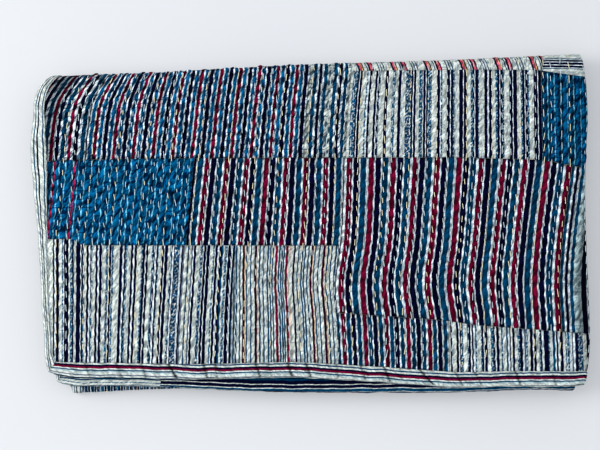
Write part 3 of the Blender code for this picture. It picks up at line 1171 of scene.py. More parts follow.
@dataclass(frozen=True)
class CottonThread:
    """Undyed running-stitch thread, with some lengths gone yellow."""

    name: str = "undyed_thread"
    pale: tuple[float, ...] = srgb(194, 208, 216)
    yellow: tuple[float, ...] = srgb(240, 226, 186)

    def material(self) -> bpy.types.Material:
        """The finish as a material."""
        made, wiring, shader = new_material(self.name)
        u, v = wiring.axes(wiring.node("ShaderNodeTexCoord").outputs["Object"])
        tint = wiring.node("ShaderNodeAttribute", attribute_name=TINT).outputs["Fac"]
        twist = wiring.noise(wiring.stretched(u, v, 0.0006, 0.0011, 0.7), 1.0)
        relief = {"Strength": 0.5, "Distance": 0.0003, "Height": twist}
        looks = {
            "Base Color": wiring.blend(tint, self.pale, self.yellow),
            "Roughness": 0.75,
            "Normal": wiring.node("ShaderNodeBump", relief).outputs[0],
            "Specular IOR Level": 0.2,
        }
        wiring.fill(shader, looks)
        return made


# ---- meshes ----
def keep_off_floor(*grids: Array) -> None:
    """Raises the points of those arrays that would sink into the surface the quilt lies on."""
    for grid in grids:
        grid[..., 2] = np.maximum(grid[..., 2], FLOOR_CLEAR)


def add_object(name: str, data: bpy.types.ID) -> bpy.types.Object:
    """Puts a mesh, a lamp or a camera in the scene under that name."""
    made = bpy.data.objects.new(name, data)
    bpy.context.scene.collection.objects.link(made)
    return made


BAKE_SPAN, BAKE_FACE = (0.004, 0.996), (0.05, 0.996)
BAKE_UNDER, BAKE_RIMS = (0.018, 0.042), (0.004, 0.012)
SHARP_ANGLE = math.radians(70)


@dataclass
class Sheet:
    """A thin closed sheet between a fine face and a coarse underside.

    The three grids of the face are its points, its cloth coordinates in metres and its ridges.
    """

    name: str
    face: Array
    under: Array
    cloth: Array
    ridge: Array
    coarseness: int = 1

    def picked(self, count: int) -> Array:
        """Which rows or columns of the face the underside keeps."""
        kept = np.arange(0, count, self.coarseness)
        return kept if kept[-1] == count - 1 else np.append(kept, count - 1)

    def build(self, material: bpy.types.Material) -> bpy.types.Object:
        """Makes the sheet.

        Args:
            material: Its finish.

        Returns:
            The object, with its cloth map, its bake map and its ridge attribute.
        """
        rows, columns = self.face.shape[:2]
        keep_i, keep_j = self.picked(rows), self.picked(columns)
        kept = np.ix_(keep_i, keep_j)
        number = np.arange(rows * columns).reshape(rows, columns)
        below = number.size + np.arange(number[kept].size).reshape(number[kept].shape)
        points = np.concatenate([self.face.reshape(-1, 3), self.under[kept].reshape(-1, 3)])
        cloth = np.concatenate([self.cloth.reshape(-1, 2), self.cloth[kept].reshape(-1, 2)])
        ridge = np.concatenate([self.ridge.ravel(), self.ridge[kept].ravel()])
        top = np.stack([number[:-1, :-1], number[:-1, 1:], number[1:, 1:], number[1:, :-1]], -1)
        bottom = np.stack([below[:-1, :-1], below[1:, :-1], below[1:, 1:], below[:-1, 1:]], -1)
        faces = top.reshape(-1, 4).tolist() + bottom.reshape(-1, 4).tolist()
        bake = self.bake_places(rows, columns, keep_i, keep_j)
        corners = [bake[index] for face in faces for index in face]
        rims = self.rims(number, below, keep_i, keep_j)
        faces += rims
        low, high = BAKE_RIMS
        for k, rim in enumerate(rims):
            left, right = (k + 0.1) / len(rims), (k + 0.9) / len(rims)
            steps = np.linspace(left, right, len(rim) - 2).tolist()
            corners += [(u, low) for u in steps] + [(right, high), (left, high)]
        mesh = bpy.data.meshes.new(self.name)
        mesh.from_pydata(points.tolist(), [], faces)
        order = [index for face in faces for index in face]
        self.dress(mesh, {CLOTH_MAP: cloth[order], BAKE_MAP: np.array(corners)}, ridge)
        mesh.materials.append(material)
        return add_object(self.name, mesh)

    @staticmethod
    def bake_places(rows: int, columns: int, keep_i: Array, keep_j: Array) -> list[tuple[float, float]]:
        """Where each vertex lies on the bake map: the face above, the underside in a strip below."""
        j, i = np.meshgrid(np.linspace(*BAKE_SPAN, columns), np.linspace(*BAKE_FACE, rows))
        low_j, low_i = np.meshgrid(
            np.interp(keep_j, (0, columns - 1), BAKE_SPAN), np.interp(keep_i, (0, rows - 1), BAKE_UNDER)
        )
        across = np.concatenate([j.ravel(), low_j.ravel()])
        up = np.concatenate([i.ravel(), low_i.ravel()])
        return list(zip(across.tolist(), up.tolist()))

    @staticmethod
    def rims(number: Array, below: Array, keep_i: Array, keep_j: Array) -> list[list[int]]:
        """The faces between the edge of the face and the edge of the underside."""
        ends = ((number[0], below[0], True), (number[-1], below[-1], False))
        sides = ((number[:, 0], below[:, 0], False), (number[:, -1], below[:, -1], True))
        made = []
        for keep, lines in ((keep_j, ends), (keep_i, sides)):
            for k, (low, high) in enumerate(zip(keep, keep[1:])):
                for face, under, is_backwards in lines:
                    run, pair = face[low : high + 1].tolist(), under[k : k + 2].tolist()
                    made.append([*run[::-1], *pair] if is_backwards else [*run, *pair[::-1]])
        return made

    @staticmethod
    def dress(mesh: bpy.types.Mesh, maps: dict[str, Array], ridge: Array) -> None:
        """Gives a mesh its maps and ridges, shades it smooth and turns its faces outwards.

        Args:
            mesh: The mesh.
            maps: Where each corner of its faces lies on each map.
            ridge: How far up a ripple each vertex lies.
        """
        for name, places in maps.items():
            layer = mesh.uv_layers.new(name=name)
            layer.data.foreach_set("uv", places.astype(np.float32).ravel())
        mesh.uv_layers.active = mesh.uv_layers[CLOTH_MAP]
        mesh.uv_layers[CLOTH_MAP].active_render = True
        attribute = mesh.attributes.new(RIDGE, "FLOAT", "POINT")
        attribute.data.foreach_set("value", ridge.astype(np.float32))
        mesh.shade_smooth()
        mesh.set_sharp_from_angle(angle=SHARP_ANGLE)
        if enclosed(mesh) < 0:
            mesh.flip_normals()


def enclosed(mesh: bpy.types.Mesh) -> float:
    """Volume inside the mesh, below zero where its faces point inwards."""
    mesh.calc_loop_triangles()
    points = np.zeros(len(mesh.vertices) * 3)
    mesh.vertices.foreach_get("co", points)
    corners = np.zeros(len(mesh.loop_triangles) * 3, np.int32)
    mesh.loop_triangles.foreach_get("vertices", corners)
    a, b, c = np.moveaxis(points.reshape(-1, 3)[corners.reshape(-1, 3)], 1, 0)
    return float(np.einsum("ij,ij->i", a, np.cross(b, c)).sum() / 6)


# ---- patchwork ----
@dataclass(frozen=True)
class Seam:
    """A seam from side to side: how far along it lies past the start of a leg, by x."""

    knots: tuple[tuple[float, float], ...]
    leg: Leg | None = None

    def along(self, cloth: FoldedCloth, x: Array) -> Array:
        """The seam's length along the cloth, where it lies at x."""
        at, values = np.array(self.knots, float).T
        lift = cloth.starts(x)[self.leg] if self.leg is not None else 0.0
        return np.interp(x, at, values) + 0 * x + lift


HEM_CLEAR, SIDE_CLEAR = 16.75, 13.25
SIDE_WIDTHS = Table(
    "along share",
    (-167, 1),
    (-150, 0.62),
    (-90, 0.64),
    (-30, 0.71),
    (0, 0.85),
    (30, 1.08),
    (60, 1.33),
    (90, 1.38),
    (114, 1.22),
    (137, 0.98),
    (170, 1),
)


def side_share(side: Side, along: Array) -> Array:
    """Width of the strip down a side there, as a share of its even width."""
    if side is not Side.OUTER:
        return 1.0 + 0.0 * along
    return np.interp(along, SIDE_WIDTHS["along"], SIDE_WIDTHS["share"])


def level(leg: Leg, past: float) -> Seam:
    """A seam at an even length past the start of a leg."""
    return Seam(((0, past),), leg)


SEAMS = {
    "hem": level(Leg.TOP_RUN, HEM_CLEAR),
    "front left": Seam(((-316, -16.5), (-277, -17.0), (-265, -24.6), (-100, -25.1), (60, -25.4))),
    "front right": Seam(((0, -104), (35, -105.5), (144, -113.6), (185, -119.6), (317, -129.5))),
    "middle": Seam(
        (
            (-316, 76.2), (-243, 77.7), (-127, 79.0), (-23, 80.0), (40, 80.3),
            (162, 80.7), (262, 77.5), (277, 75.3), (317, 67.5),
        )
    ),
    "over": Seam(((30, 185.8), (100, 186.5), (200, 187), (262, 186.6), (276, 184.0), (317, 178.5))),
    "under": level(Leg.BOTTOM_RUN, 9.0),
    "under back": Seam(((-316, 110.0), (0, 116.0), (316, 104.0)), Leg.BOTTOM_RUN),
    "under front": Seam(((-316, 236.0), (0, 230.0), (316, 241.0)), Leg.BOTTOM_RUN),
    "turn": level(Leg.FRONT_FOLD, -9.0),
    "third front": level(Leg.THIRD_RUN, 34.0),
    "third back": level(Leg.INNER_FOLD, -6.0),
    "second back": level(Leg.SECOND_RUN, 6.0),
    "end": level(Leg.END, -HEM_CLEAR),
}


@dataclass(frozen=True)
class Patch:
    """One patch: its cotton, its four seams and how finely it is made.

    Left and right are threads of the grain line, or sides of the cloth. The first stripe
    of the cotton starts at the thread named by start. Past bend the stripes lean by slant.
    """

    name: str
    cotton: StripedCotton
    left: float | Side
    right: float | Side
    front: str
    back: str
    start: float = 0.0
    swell: float = 1.0
    step: float = 1.9
    crosswise: float | None = None
    slant: float = 0.0
    bend: float = GRAIN_LINE


WHOLE = (Side.OUTER, Side.FOLD)
INSIDE = (Side.FOLD, Side.INNER)
UNDER_BACK = ("under", "under back", 0.8, 4.2)
UNDER_MIDDLE = ("under back", "under front", 0.8, 4.2)
UNDER_FRONT = ("under front", "turn", 0.8, 4.2)
PATCHES = (
    Patch("patch_back_edge", EDGE_RED, Side.OUTER, -260.5, "middle", "under", -302.6, 1.05),
    Patch("patch_back_left", FINE_RED, -260.5, -7.2, "middle", "under", -24.85, 1.05),
    Patch("patch_back_middle", WIDE_TEAL, -7.2, 41.6, "middle", "under", -2.4, 0.95),
    Patch("patch_back_right", OPEN_PAIRS, 41.6, 269.5, "middle", "over", 46.6, 0.55),
    Patch("patch_back_blue", PLAIN_BLUE, 269.5, Side.FOLD, "middle", "over", 270.0, 0.8),
    Patch("patch_over_back", SALMON_STRIPE, 41.6, 271.5, "over", "under", 160.5, 0.45, slant=0.25),
    Patch("patch_over_corner", CROSSWISE, 271.5, Side.FOLD, "over", "under", crosswise=182.0, swell=0.45),
    Patch("patch_middle_blue", LINED_BLUE, Side.OUTER, -133.4, "front left", "middle", 0.0, 1.3),
    Patch("patch_middle_red", MIDDLE_RED, -133.4, 39.3, "front left", "middle", -120.75, 0.95),
    Patch("patch_middle_bold", BOLD_RED, 39.3, 304.6, "front right", "middle", 42.85, 0.95),
    Patch("patch_middle_edge", BOLD_EDGE, 304.6, Side.FOLD, "front right", "middle", 304.6, 0.95),
    Patch("patch_front_left", CLOSE_PAIRS, Side.OUTER, -76.5, "hem", "front left", -288.5, 0.8),
    Patch(
        "patch_front_lines", TEAL_AND_RED, -76.5, 39.3, "hem", "front left", -65.3, 0.6,
        slant=0.055, bend=-95.0,
    ),
    Patch("patch_front_red", FRONT_RED, 39.3, 166.5, "hem", "front right", 43.8, 0.9),
    Patch("patch_front_right", RIGHT_PAIRS, 166.5, Side.FOLD, "hem", "front right", 168.3, 0.7),
    *(
        Patch(f"patch_{name}", cotton, left, right, front, back, swell=swell, step=step)
        for name, cotton, left, right, front, back, swell, step in (
            ("under_back_left", CLOSE_PAIRS, Side.OUTER, -60.0, *UNDER_BACK),
            ("under_back_middle", BOLD_RED, -60.0, 120.0, *UNDER_BACK),
            ("under_back_right", PLAIN_BLUE, 120.0, Side.FOLD, *UNDER_BACK),
            ("under_middle_left", MIDDLE_RED, Side.OUTER, 40.0, *UNDER_MIDDLE),
            ("under_middle_right", TEAL_AND_RED, 40.0, Side.FOLD, *UNDER_MIDDLE),
            ("under_front_left", FINE_NAVY, Side.OUTER, -120.0, *UNDER_FRONT),
            ("under_front_middle", OPEN_PAIRS, -120.0, 150.0, *UNDER_FRONT),
            ("under_front_right", FINE_RED, 150.0, Side.FOLD, *UNDER_FRONT),
            ("turn_left", FINE_NAVY, Side.OUTER, 60.0, "turn", "third front", 0.3, 3.0),
            ("turn_right", CLOSE_PAIRS, 60.0, Side.FOLD, "turn", "third front", 0.3, 3.0),
            ("third_run", MIDDLE_RED, *WHOLE, "third front", "third back", 0.2, 8.0),
            ("inner_fold", PLAIN_BLUE, *WHOLE, "third back", "second back", 0.2, 3.0),
            ("second_run", FRONT_RED, *WHOLE, "second back", "end", 0.2, 8.0),
            ("inside_top", OPEN_PAIRS, *INSIDE, "hem", "under", 0.2, 7.0),
            ("inside_bottom", FINE_RED, *INSIDE, "under", "turn", 0.2, 8.0),
            ("inside_turn", BOLD_RED, *INSIDE, "turn", "third front", 0.2, 4.0),
            ("inside_third", CLOSE_PAIRS, *INSIDE, "third front", "third back", 0.2, 8.0),
            ("inside_fold", PLAIN_BLUE, *INSIDE, "third back", "second back", 0.2, 3.0),
            ("inside_second", WIDE_TEAL, *INSIDE, "second back", "end", 0.2, 8.0),
        )
    ),
)


@dataclass(frozen=True)
class Patchwork:
    """The patches that cover the face of the quilt."""

    cloth: FoldedCloth
    plan: StitchPlan
    trough: float = 0.85
    rise: float = 1.55
    underside: float = 0.45
    seam_depth: float = 0.55
    seam_width: float = 1.5
    flat_face: float = 1.68
    seam_gap: float = 0.12
    past_fold: float = 0.3
    fine_wave: float = 0.10
    thinnest: float = 0.12
    fold_steps: int = 7
    under_coarseness: int = 4

    def stations(self, patch: Patch) -> tuple[Array, Array, Array]:
        """How a patch is divided.

        Args:
            patch: The patch.

        Returns:
            Shares from front to back, shares across its flat, and lengths past the side fold's start.
        """
        front, back = (
            float(SEAMS[name].along(self.cloth, np.array(0.0))) for name in (patch.front, patch.back)
        )
        middle = np.array((front + back) / 2)
        left, right = (
            float(self.cloth.side_across(side, middle)) if isinstance(side, Side) else side
            for side in (patch.left, patch.right)
        )
        rows = max(4, round((back - front) / patch.step))
        columns = max(4, round((right - left) / patch.step))
        steps = np.arange(1, self.fold_steps + 1) if patch.right is Side.FOLD else np.array([])
        past = self.cloth.fold_length * steps / self.fold_steps
        return np.linspace(0, 1, rows + 1), np.linspace(0, 1, columns + 1), past

    def side_of(self, side: float | Side, along: Array, way: float) -> Array:
        """Length across of one side of a patch.

        Args:
            side: A thread or a side of the cloth.
            along: Length along.
            way: 1 for the patch's left side and -1 for its right.

        Returns:
            The length across, clear of the binding or of the next patch.
        """
        if isinstance(side, Side):
            at = self.cloth.side_across(side, along)
            if side is Side.FOLD:
                return at + self.past_fold if way > 0 else at - self.cloth.fold_length
            return at + way * SIDE_CLEAR * side_share(side, along)
        return self.cloth.across_at(side, along) + way * self.seam_gap

    def grid(self, patch: Patch) -> tuple[Array, Array, Array]:
        """Places of the patch's vertices on the cloth.

        Args:
            patch: The patch.

        Returns:
            Length across, length along, and distance to the nearest side of the patch.
        """
        cloth = self.cloth
        shares, flat, past = self.stations(patch)
        share = shares[:, None]
        across = np.zeros((len(shares), len(flat) + len(past)))
        across += 0.0 if isinstance(patch.left, Side) else patch.left
        for _ in range(EDGE_ROUNDS):
            x = cloth.x_of(across, SEAMS[patch.front].along(cloth, across * 0))
            front = SEAMS[patch.front].along(cloth, x) + self.seam_gap
            back = SEAMS[patch.back].along(cloth, x) - self.seam_gap
            along = front + (back - front) * share
            left = self.side_of(patch.left, along[:, 0], 1.0)[:, None]
            right = self.side_of(patch.right, along[:, len(flat) - 1], -1.0)[:, None]
            across = left + (right - left) * flat[None]
            if len(past):
                across = np.concatenate([across, right + past[None]], axis=1)
        edge = np.minimum(along - front, back - along)
        edge = np.minimum(edge, across - across[:, :1])
        if patch.right is not Side.FOLD:
            edge = np.minimum(edge, across[:, -1:] - across)
        return across, along, np.maximum(edge, 0)

    def lift(self, patch: Patch, across: Array, along: Array, edge: Array) -> tuple[Array, Array]:
        """Height of the face over the middle of the cloth.

        Args:
            patch: The patch.
            across: Length across.
            along: Length along.
            edge: Distance to the nearest side of the patch.

        Returns:
            The lift, and how far up its ripple each place lies, lowered along the seams so that shade is
            painted there.
        """
        grain = self.cloth.thread_at(across, along)
        ridge = self.plan.pucker(grain, along)
        x, y = self.cloth.nominal(across, along)
        lift = self.trough + self.rise * patch.swell * ridge
        lift = lift + self.fine_wave * ripple(across, along, *FINE_WAVES) * patch.swell
        if patch.front in ("hem", "front left", "front right", "middle"):
            lift = lift - creased(x, y)
        lift = lift - self.seam_depth * np.exp(-((edge / self.seam_width) ** 2))
        lift = np.maximum(lift, self.underside + self.thinnest)
        leg, _ = self.cloth.leg_share(x, along)
        if patch.swell < 0.3:
            lift = np.minimum(lift, self.flat_face + 0.1)
        # Painted shade: the ridge value is lowered close to the patch's seams, which darkens the colour
        # there.
        shown = np.clip(0.12 + 1.2 * ridge - 0.5 * np.exp(-((edge / 1.2) ** 2)), 0, 1)
        return np.where(leg == Leg.BOTTOM_RUN, np.minimum(lift, self.flat_face), lift), shown

    def cloth_places(self, patch: Patch, across: Array, along: Array) -> Array:
        """The patch's own coordinates in metres, across and along its stripes."""
        grain = self.cloth.thread_at(across, along)
        if patch.crosswise is not None:
            return np.stack([(along - patch.crosswise) * MM, grain * MM], -1)
        u = grain - patch.start + patch.slant * np.maximum(along - patch.bend, 0)
        return np.stack([u * MM, along * MM], -1)

    def make(self, patch: Patch) -> bpy.types.Object:
        """Builds one patch.

        Args:
            patch: The patch.

        Returns:
            Its object.
        """
        across, along, edge = self.grid(patch)
        lift, ridge = self.lift(patch, across, along, edge)
        grain = self.cloth.thread_at(across, along)
        sway = self.plan.sway(grain, along) * patch.swell * np.clip(edge / 4.0, 0, 1)
        face = self.cloth.place(across + sway, along, lift)
        under = self.cloth.place(across, along, np.minimum(self.underside, lift - 0.1))
        keep_off_floor(face, under)
        sheet = Sheet(
            patch.name, face, under, self.cloth_places(patch, across, along), ridge, self.under_coarseness
        )
        made = sheet.build(patch.cotton.material())
        return made


# ---- what lies under the patches ----
def stations(starts: Array, step: float, fold_step: float, fine: float = 1.0) -> tuple[Array, Array]:
    """Where the rows of a piece lie that runs from the first hem to the last.

    Args:
        starts: Where each leg starts.
        step: Distance between the rows of a run.
        fold_step: Distance between the rows of a fold.
        fine: How much closer they lie on the top run.

    Returns:
        The leg of each row and the share of its length.
    """
    places = []
    for leg in list(Leg)[:-1]:
        wide = step / fine if leg is Leg.TOP_RUN else step
        length = float(starts[leg + 1] - starts[leg])
        count = max(6, round(length / (fold_step if leg in FOLDS else wide)))
        places += [(leg, k / count) for k in range(count)]
    legs, shares = zip(*places, (Leg.SECOND_RUN, 1.0))
    return np.array(legs), np.array(shares)


@dataclass(frozen=True)
class Undercloth:
    """The layers of old cloth under the patches, which run through the whole quilt."""

    cloth: FoldedCloth
    face: float = 0.3
    back: float = -1.68
    pressed: float = 0.34
    shoulder: float = 1.2
    step: float = 9.0
    fold_step: float = 2.2

    def grid(self) -> tuple[Array, Array, Array]:
        """Places of the undercloth's vertices.

        Returns:
            Length across, length along, and how far in from the nearest binding's seam.
        """
        cloth = self.cloth
        legs, shares = stations(cloth.starts(np.array(0.0)), self.step, self.fold_step)
        width = cloth.side_width
        hem = cloth.half + np.array([0.0, width - self.shoulder, width])
        flat = np.linspace(0, 1, round(cloth.bundle_width / self.step))[1:]
        turn = cloth.fold_length * np.arange(1, 9) / 9
        count = len(hem) + len(flat) + len(turn) + len(flat) + len(hem)
        x = np.zeros((len(legs), count))
        for _ in range(FIT_ROUNDS):
            starts = cloth.starts(x)
            number = legs[None, :, None] + 0 * x[None].astype(int)
            begin = np.take_along_axis(starts, number, 0)[0]
            end = np.take_along_axis(starts, number + 1, 0)[0]
            along = begin + (end - begin) * shares[:, None]
            along = np.clip(along, starts[0] + cloth.half, starts[Leg.END] - cloth.half)
            middle = along[:, count // 2, None]
            outer, fold, inner = (cloth.side_across(side, middle) for side in Side)
            turn_start = fold - cloth.fold_length
            left = outer + hem[-1]
            right = inner - hem[-1]
            parts = (
                outer + hem,
                left + (turn_start - left) * flat,
                turn_start + turn,
                fold + (right - fold) * (flat - flat[0]) / (1 - flat[0]),
                inner - hem[::-1],
            )
            across = np.concatenate(parts, axis=1)
            x = cloth.x_of(across, along)
        aside = np.minimum(across - outer, inner - across) - width
        endwise = np.minimum(along - starts[0], starts[Leg.END] - along) - cloth.end_width
        return across, along, np.minimum(aside, endwise)

    def make(self) -> bpy.types.Object:
        """Builds the undercloth."""
        across, along, inset = self.grid()
        free = np.clip((inset - 0.5) / self.shoulder, 0, 1)
        back = -self.pressed + (self.back + self.pressed) * free
        face = self.cloth.place(across, along, self.face + 0 * across)
        under = self.cloth.place(across, along, back)
        coords = np.stack([self.cloth.thread_at(across, along) * MM, along * MM], -1)
        sheet = Sheet("quilt_undercloth", face, under, coords, 0.6 + 0 * across)
        made = sheet.build(UNDERCLOTH.material())
        return made


# ---- bindings ----
DRAGS = Table(
    "x lean width depth",
    (-268, 7, 1.5, 0.35),
    (-232, 8, 1.6, 0.4),
    (-202, 6, 1.4, 0.35),
    (-171, 10, 1.9, 0.75),
    (-130, 5, 1.6, 0.5),
    (-117, 4, 1.4, 0.4),
    (-70, 6, 1.6, 0.6),
    (-56, 6, 1.4, 0.35),
    (-33, 6, 1.7, 0.65),
    (-12, 7, 1.7, 0.65),
    (24, 3, 1.4, 0.35),
    (52, 7, 1.5, 0.4),
    (79, 8, 1.7, 0.6),
    (121, 16, 2, 0.6),
    (162, 10, 1.7, 0.4),
    (185, 9, 1.5, 0.4),
    (232, 7, 1.8, 0.5),
    (274, 6, 1.4, 0.3),
)
UPPER_DRIFT = (
    (-289, 3.7), (-243, 2.4), (-208, 2.9), (-162, 2.2), (-127, 0.7),
    (-29, 0.4), (104, -1.4), (187, -0.8), (289, 0.3),
)
NAVY_DRIFT = ((-127, 0.0), (-31, 0.8), (104, 2.4))
JOINT_MARGIN, JOINT_SHARE, JOINT_GAP = 14.45, 0.19, 0.2


@dataclass(frozen=True)
class Binding:
    """A strip of cotton folded over an edge of the quilt and sewn through."""

    cloth: FoldedCloth
    name: str
    cotton: StripedCotton
    node: str
    width: float = 16.5
    wall: float = 0.8
    crown: float = 0.35
    sewn: float = 0.45
    drift: tuple[tuple[float, float], ...] = ((0.0, 0.0),)
    face_steps: int = 13
    rim_steps: int = 8
    back_steps: int = 6

    def profile(self) -> tuple[Array, Array, Array]:
        """The strip in section, from its seam on the face over the edge to its seam on the back.

        Returns:
            How far in from the edge, how high, and the length along the section from the face seam.
        """
        half, width = self.cloth.half, self.width
        face = np.linspace(width, half, self.face_steps, endpoint=False)
        turn = np.linspace(math.pi / 2, -math.pi / 2, self.rim_steps + 1)
        back = np.linspace(half, width, self.back_steps + 1)[1:]
        inset = np.concatenate([face, half * (1 - np.cos(turn)), back])
        lift = np.concatenate([0 * face + half, half * np.sin(turn), 0 * back - half])
        step = np.hypot(np.diff(inset), np.diff(lift))
        return inset, lift, np.concatenate([[0.0], np.cumsum(step)])

    def lining(self, inset: Array) -> tuple[Array, float]:
        """The inside of the section.

        Args:
            inset: How far in from the edge each step of the outside lies.

        Returns:
            How far in each step of the inside lies, and its share of the outside's height.
        """
        half = self.cloth.half
        bore = 1 - self.wall / half
        return np.where(inset < half, half - (half - inset) * bore, inset), bore

    def relief(self, along_edge: Array, inset: Array, lift: Array) -> Array:
        """How far the strip's outside stands off its even section.

        Args:
            along_edge: Length along the edge.
            inset: How far in from the edge.
            lift: Height of the even section.

        Returns:
            Millimetres outwards.
        """
        inward = inset / self.width
        puff = self.crown * np.sin(math.pi * np.clip(inward, 0, 1)) ** 0.8
        seam = self.sewn * np.exp(-(((self.width - inset) / 1.3) ** 2))
        wave = 0.14 * ripple(along_edge, inset * 1.5, *STRIP_WAVES)
        wave = wave + 0.08 * ripple(along_edge, inset, *STRIP_FINE)
        face_only = np.clip(lift / self.cloth.half, 0, 1)
        return (puff + wave) * (0.35 + 0.65 * face_only) - seam * face_only

    def built(self, outside: Array, inside: Array, along_edge: Array, ridge: Array) -> bpy.types.Object:
        """Makes the strip from its two grids.

        Args:
            outside: Points of its outside.
            inside: Points of its inside.
            along_edge: Length along the edge, for each row.
            ridge: How far up a ripple each point lies.

        Returns:
            The object.
        """
        x = (outside[..., 0] - self.cloth.moved[0]) / MM
        length = self.profile()[2][None, :] + np.interp(x, *np.array(self.drift, float).T)
        coords = np.stack([length * MM, along_edge * MM], -1)
        keep_off_floor(outside, inside)
        made = Sheet(self.name, outside, inside, coords, ridge, 2).build(self.cotton.material())
        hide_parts(self.node)
        return made


@dataclass(frozen=True)
class SideBinding(Binding):
    """The strip down one long side of the cloth, through all its folds."""

    side: Side = Side.OUTER
    width: float = 13.0
    step: float = 6.4
    fold_step: float = 1.6

    def reach(self, inset: Array, lift: Array, along: Array) -> Array:
        """How far in from the edge each step of the section lies, where the strip runs wide or narrow."""
        face = (lift[None] > 0) * np.maximum(inset[None] - self.cloth.half, 0)
        return inset[None] + face * (side_share(self.side, along) - 1)

    def make(self) -> bpy.types.Object:
        """Builds the strip, with both of its ends mitred."""
        cloth = self.cloth
        inset, lift, _ = self.profile()
        way = 1.0 if self.side is Side.OUTER else -1.0
        starts = cloth.starts(np.array(10.0 - cloth.half_width))
        legs, shares = stations(starts, self.step, self.fold_step, 2.0)
        rows = starts[legs] + (starts[legs + 1] - starts[legs]) * shares
        along = rows[:, None] + 0 * inset[None]
        for _ in range(FIT_ROUNDS):
            edge = cloth.side_across(self.side, along)
            across = edge + way * self.reach(inset, lift, along)
            starts = cloth.starts(cloth.x_of(across, along))
            slack = inset[None] * cloth.end_width / self.width + cloth.mitre_gap
            along = np.clip(along, starts[0] + slack, starts[Leg.END] - slack)
        off = self.relief(along, inset[None], lift[None])
        wobble = 0.25 * ripple(along, inset[None], *SIDE_WAVES)
        scale = (cloth.half + off) / cloth.half
        outside = cloth.place(across + wobble * way, along, lift[None] * scale)
        shrink, bore = self.lining(inset)
        inside = cloth.place(edge + way * self.reach(shrink, lift, along), along, lift[None] * bore)
        # Painted shade: the ridge value falls where the strip dips at its seam, which darkens the colour
        # there.
        return self.built(outside, inside, along, 0.72 + 0.25 * np.clip(off, -1, 1))


@dataclass(frozen=True)
class EndBinding(Binding):
    """The strip over one end of the cloth, or a length of it."""

    leg: Leg = Leg.TOP_RUN
    start: Side | float = Side.OUTER
    stop: Side | float = Side.INNER
    step: float = 2.6
    fold_step: float = 1.5
    dragged: bool = False

    def edge_place(self, end: Side | float, along: Array, inset: Array) -> Array:
        """Length across at which the strip starts or stops, for each step of its section."""
        if not isinstance(end, Side):
            return end + 0 * inset
        way = 1.0 if end is Side.OUTER else -1.0
        inset = inset * self.cloth.side_width / self.width
        return self.cloth.side_across(end, along) + way * (inset + self.cloth.mitre_gap)

    def make(self) -> bpy.types.Object:
        """Builds the strip."""
        cloth = self.cloth
        inset, lift, _ = self.profile()
        outer_leg = self.leg is Leg.TOP_RUN
        sign = 1.0 if outer_leg else -1.0
        hem = float(cloth.starts(np.array(0.0))[0 if outer_leg else Leg.END])
        first = self.edge_place(self.start, hem + sign * inset, inset)
        last = self.edge_place(self.stop, hem + sign * inset, inset)
        turn = float(cloth.side_across(Side.FOLD, np.array(hem)))
        knots = (turn - cloth.fold_length, turn)
        knots = [knot for knot in knots if float(first[0]) < knot < float(last[0])]
        bounds = [first, *(knot + 0 * inset for knot in knots), last]
        rows = []
        for number, (low, high) in enumerate(zip(bounds, bounds[1:])):
            fine = self.fold_step if len(bounds) == 4 and number == 1 else self.step
            fine = fine * (2.5 if float(low[0]) >= turn - 0.1 and outer_leg else 1)
            count = max(5, round(float(high[0] - low[0]) / fine))
            shares = np.arange(count) / count
            rows.append(low[None] + (high - low)[None] * shares[:, None])
        across = np.concatenate([*rows, last[None]])
        x = across + 0.0
        for _ in range(FIT_ROUNDS):
            starts = cloth.starts(np.clip(x, -cloth.half_width, cloth.half_width))
            along = starts[0] + inset[None] if outer_leg else starts[Leg.END] - inset[None]
            x = cloth.x_of(across, along)
        off = self.relief(across, inset[None], lift[None])
        pull = self.drag(across, inset[None]) * np.clip(lift[None] / cloth.half, 0, 1)
        off = off - pull
        scale = (cloth.half + off) / cloth.half
        wobble = 0.3 * ripple(across, 0.0, *END_WAVES) + 0.15 * ripple(across, 0.0, *END_FINE)
        outside = cloth.place(across, along + wobble * sign, lift[None] * scale)
        shrink, bore = self.lining(inset)
        inside = cloth.place(across, along + sign * (shrink - inset)[None], lift[None] * bore)
        # Painted shade: the ridge value falls where the strip dips and in the dragged creases, which
        # darkens the colour there.
        ridge = 0.72 + 0.25 * np.clip(off, -1, 1) - 1.6 * np.maximum(pull, 0)
        return self.built(outside, inside, across, np.clip(ridge, 0, 1))

    def drag(self, across: Array, inset: Array) -> Array:
        """How far the slanting creases drag the strip down there."""
        total = 0.0 * across
        down = self.width - inset
        for x, lean, width, depth in DRAGS.rows() if self.dragged else ():
            side = across - x - lean * down / self.width * 1.15
            total = total + depth * np.exp(-((side / width) ** 2))
            total = total - 0.7 * depth * np.exp(-((side / width - 1.9) ** 2))
        return total


# ---- running stitch ----
STITCH_INPUTS = {"Stitch Length": "Float", "Thread Width": "Float", "Loft": "Float", "Seed": "Int"}


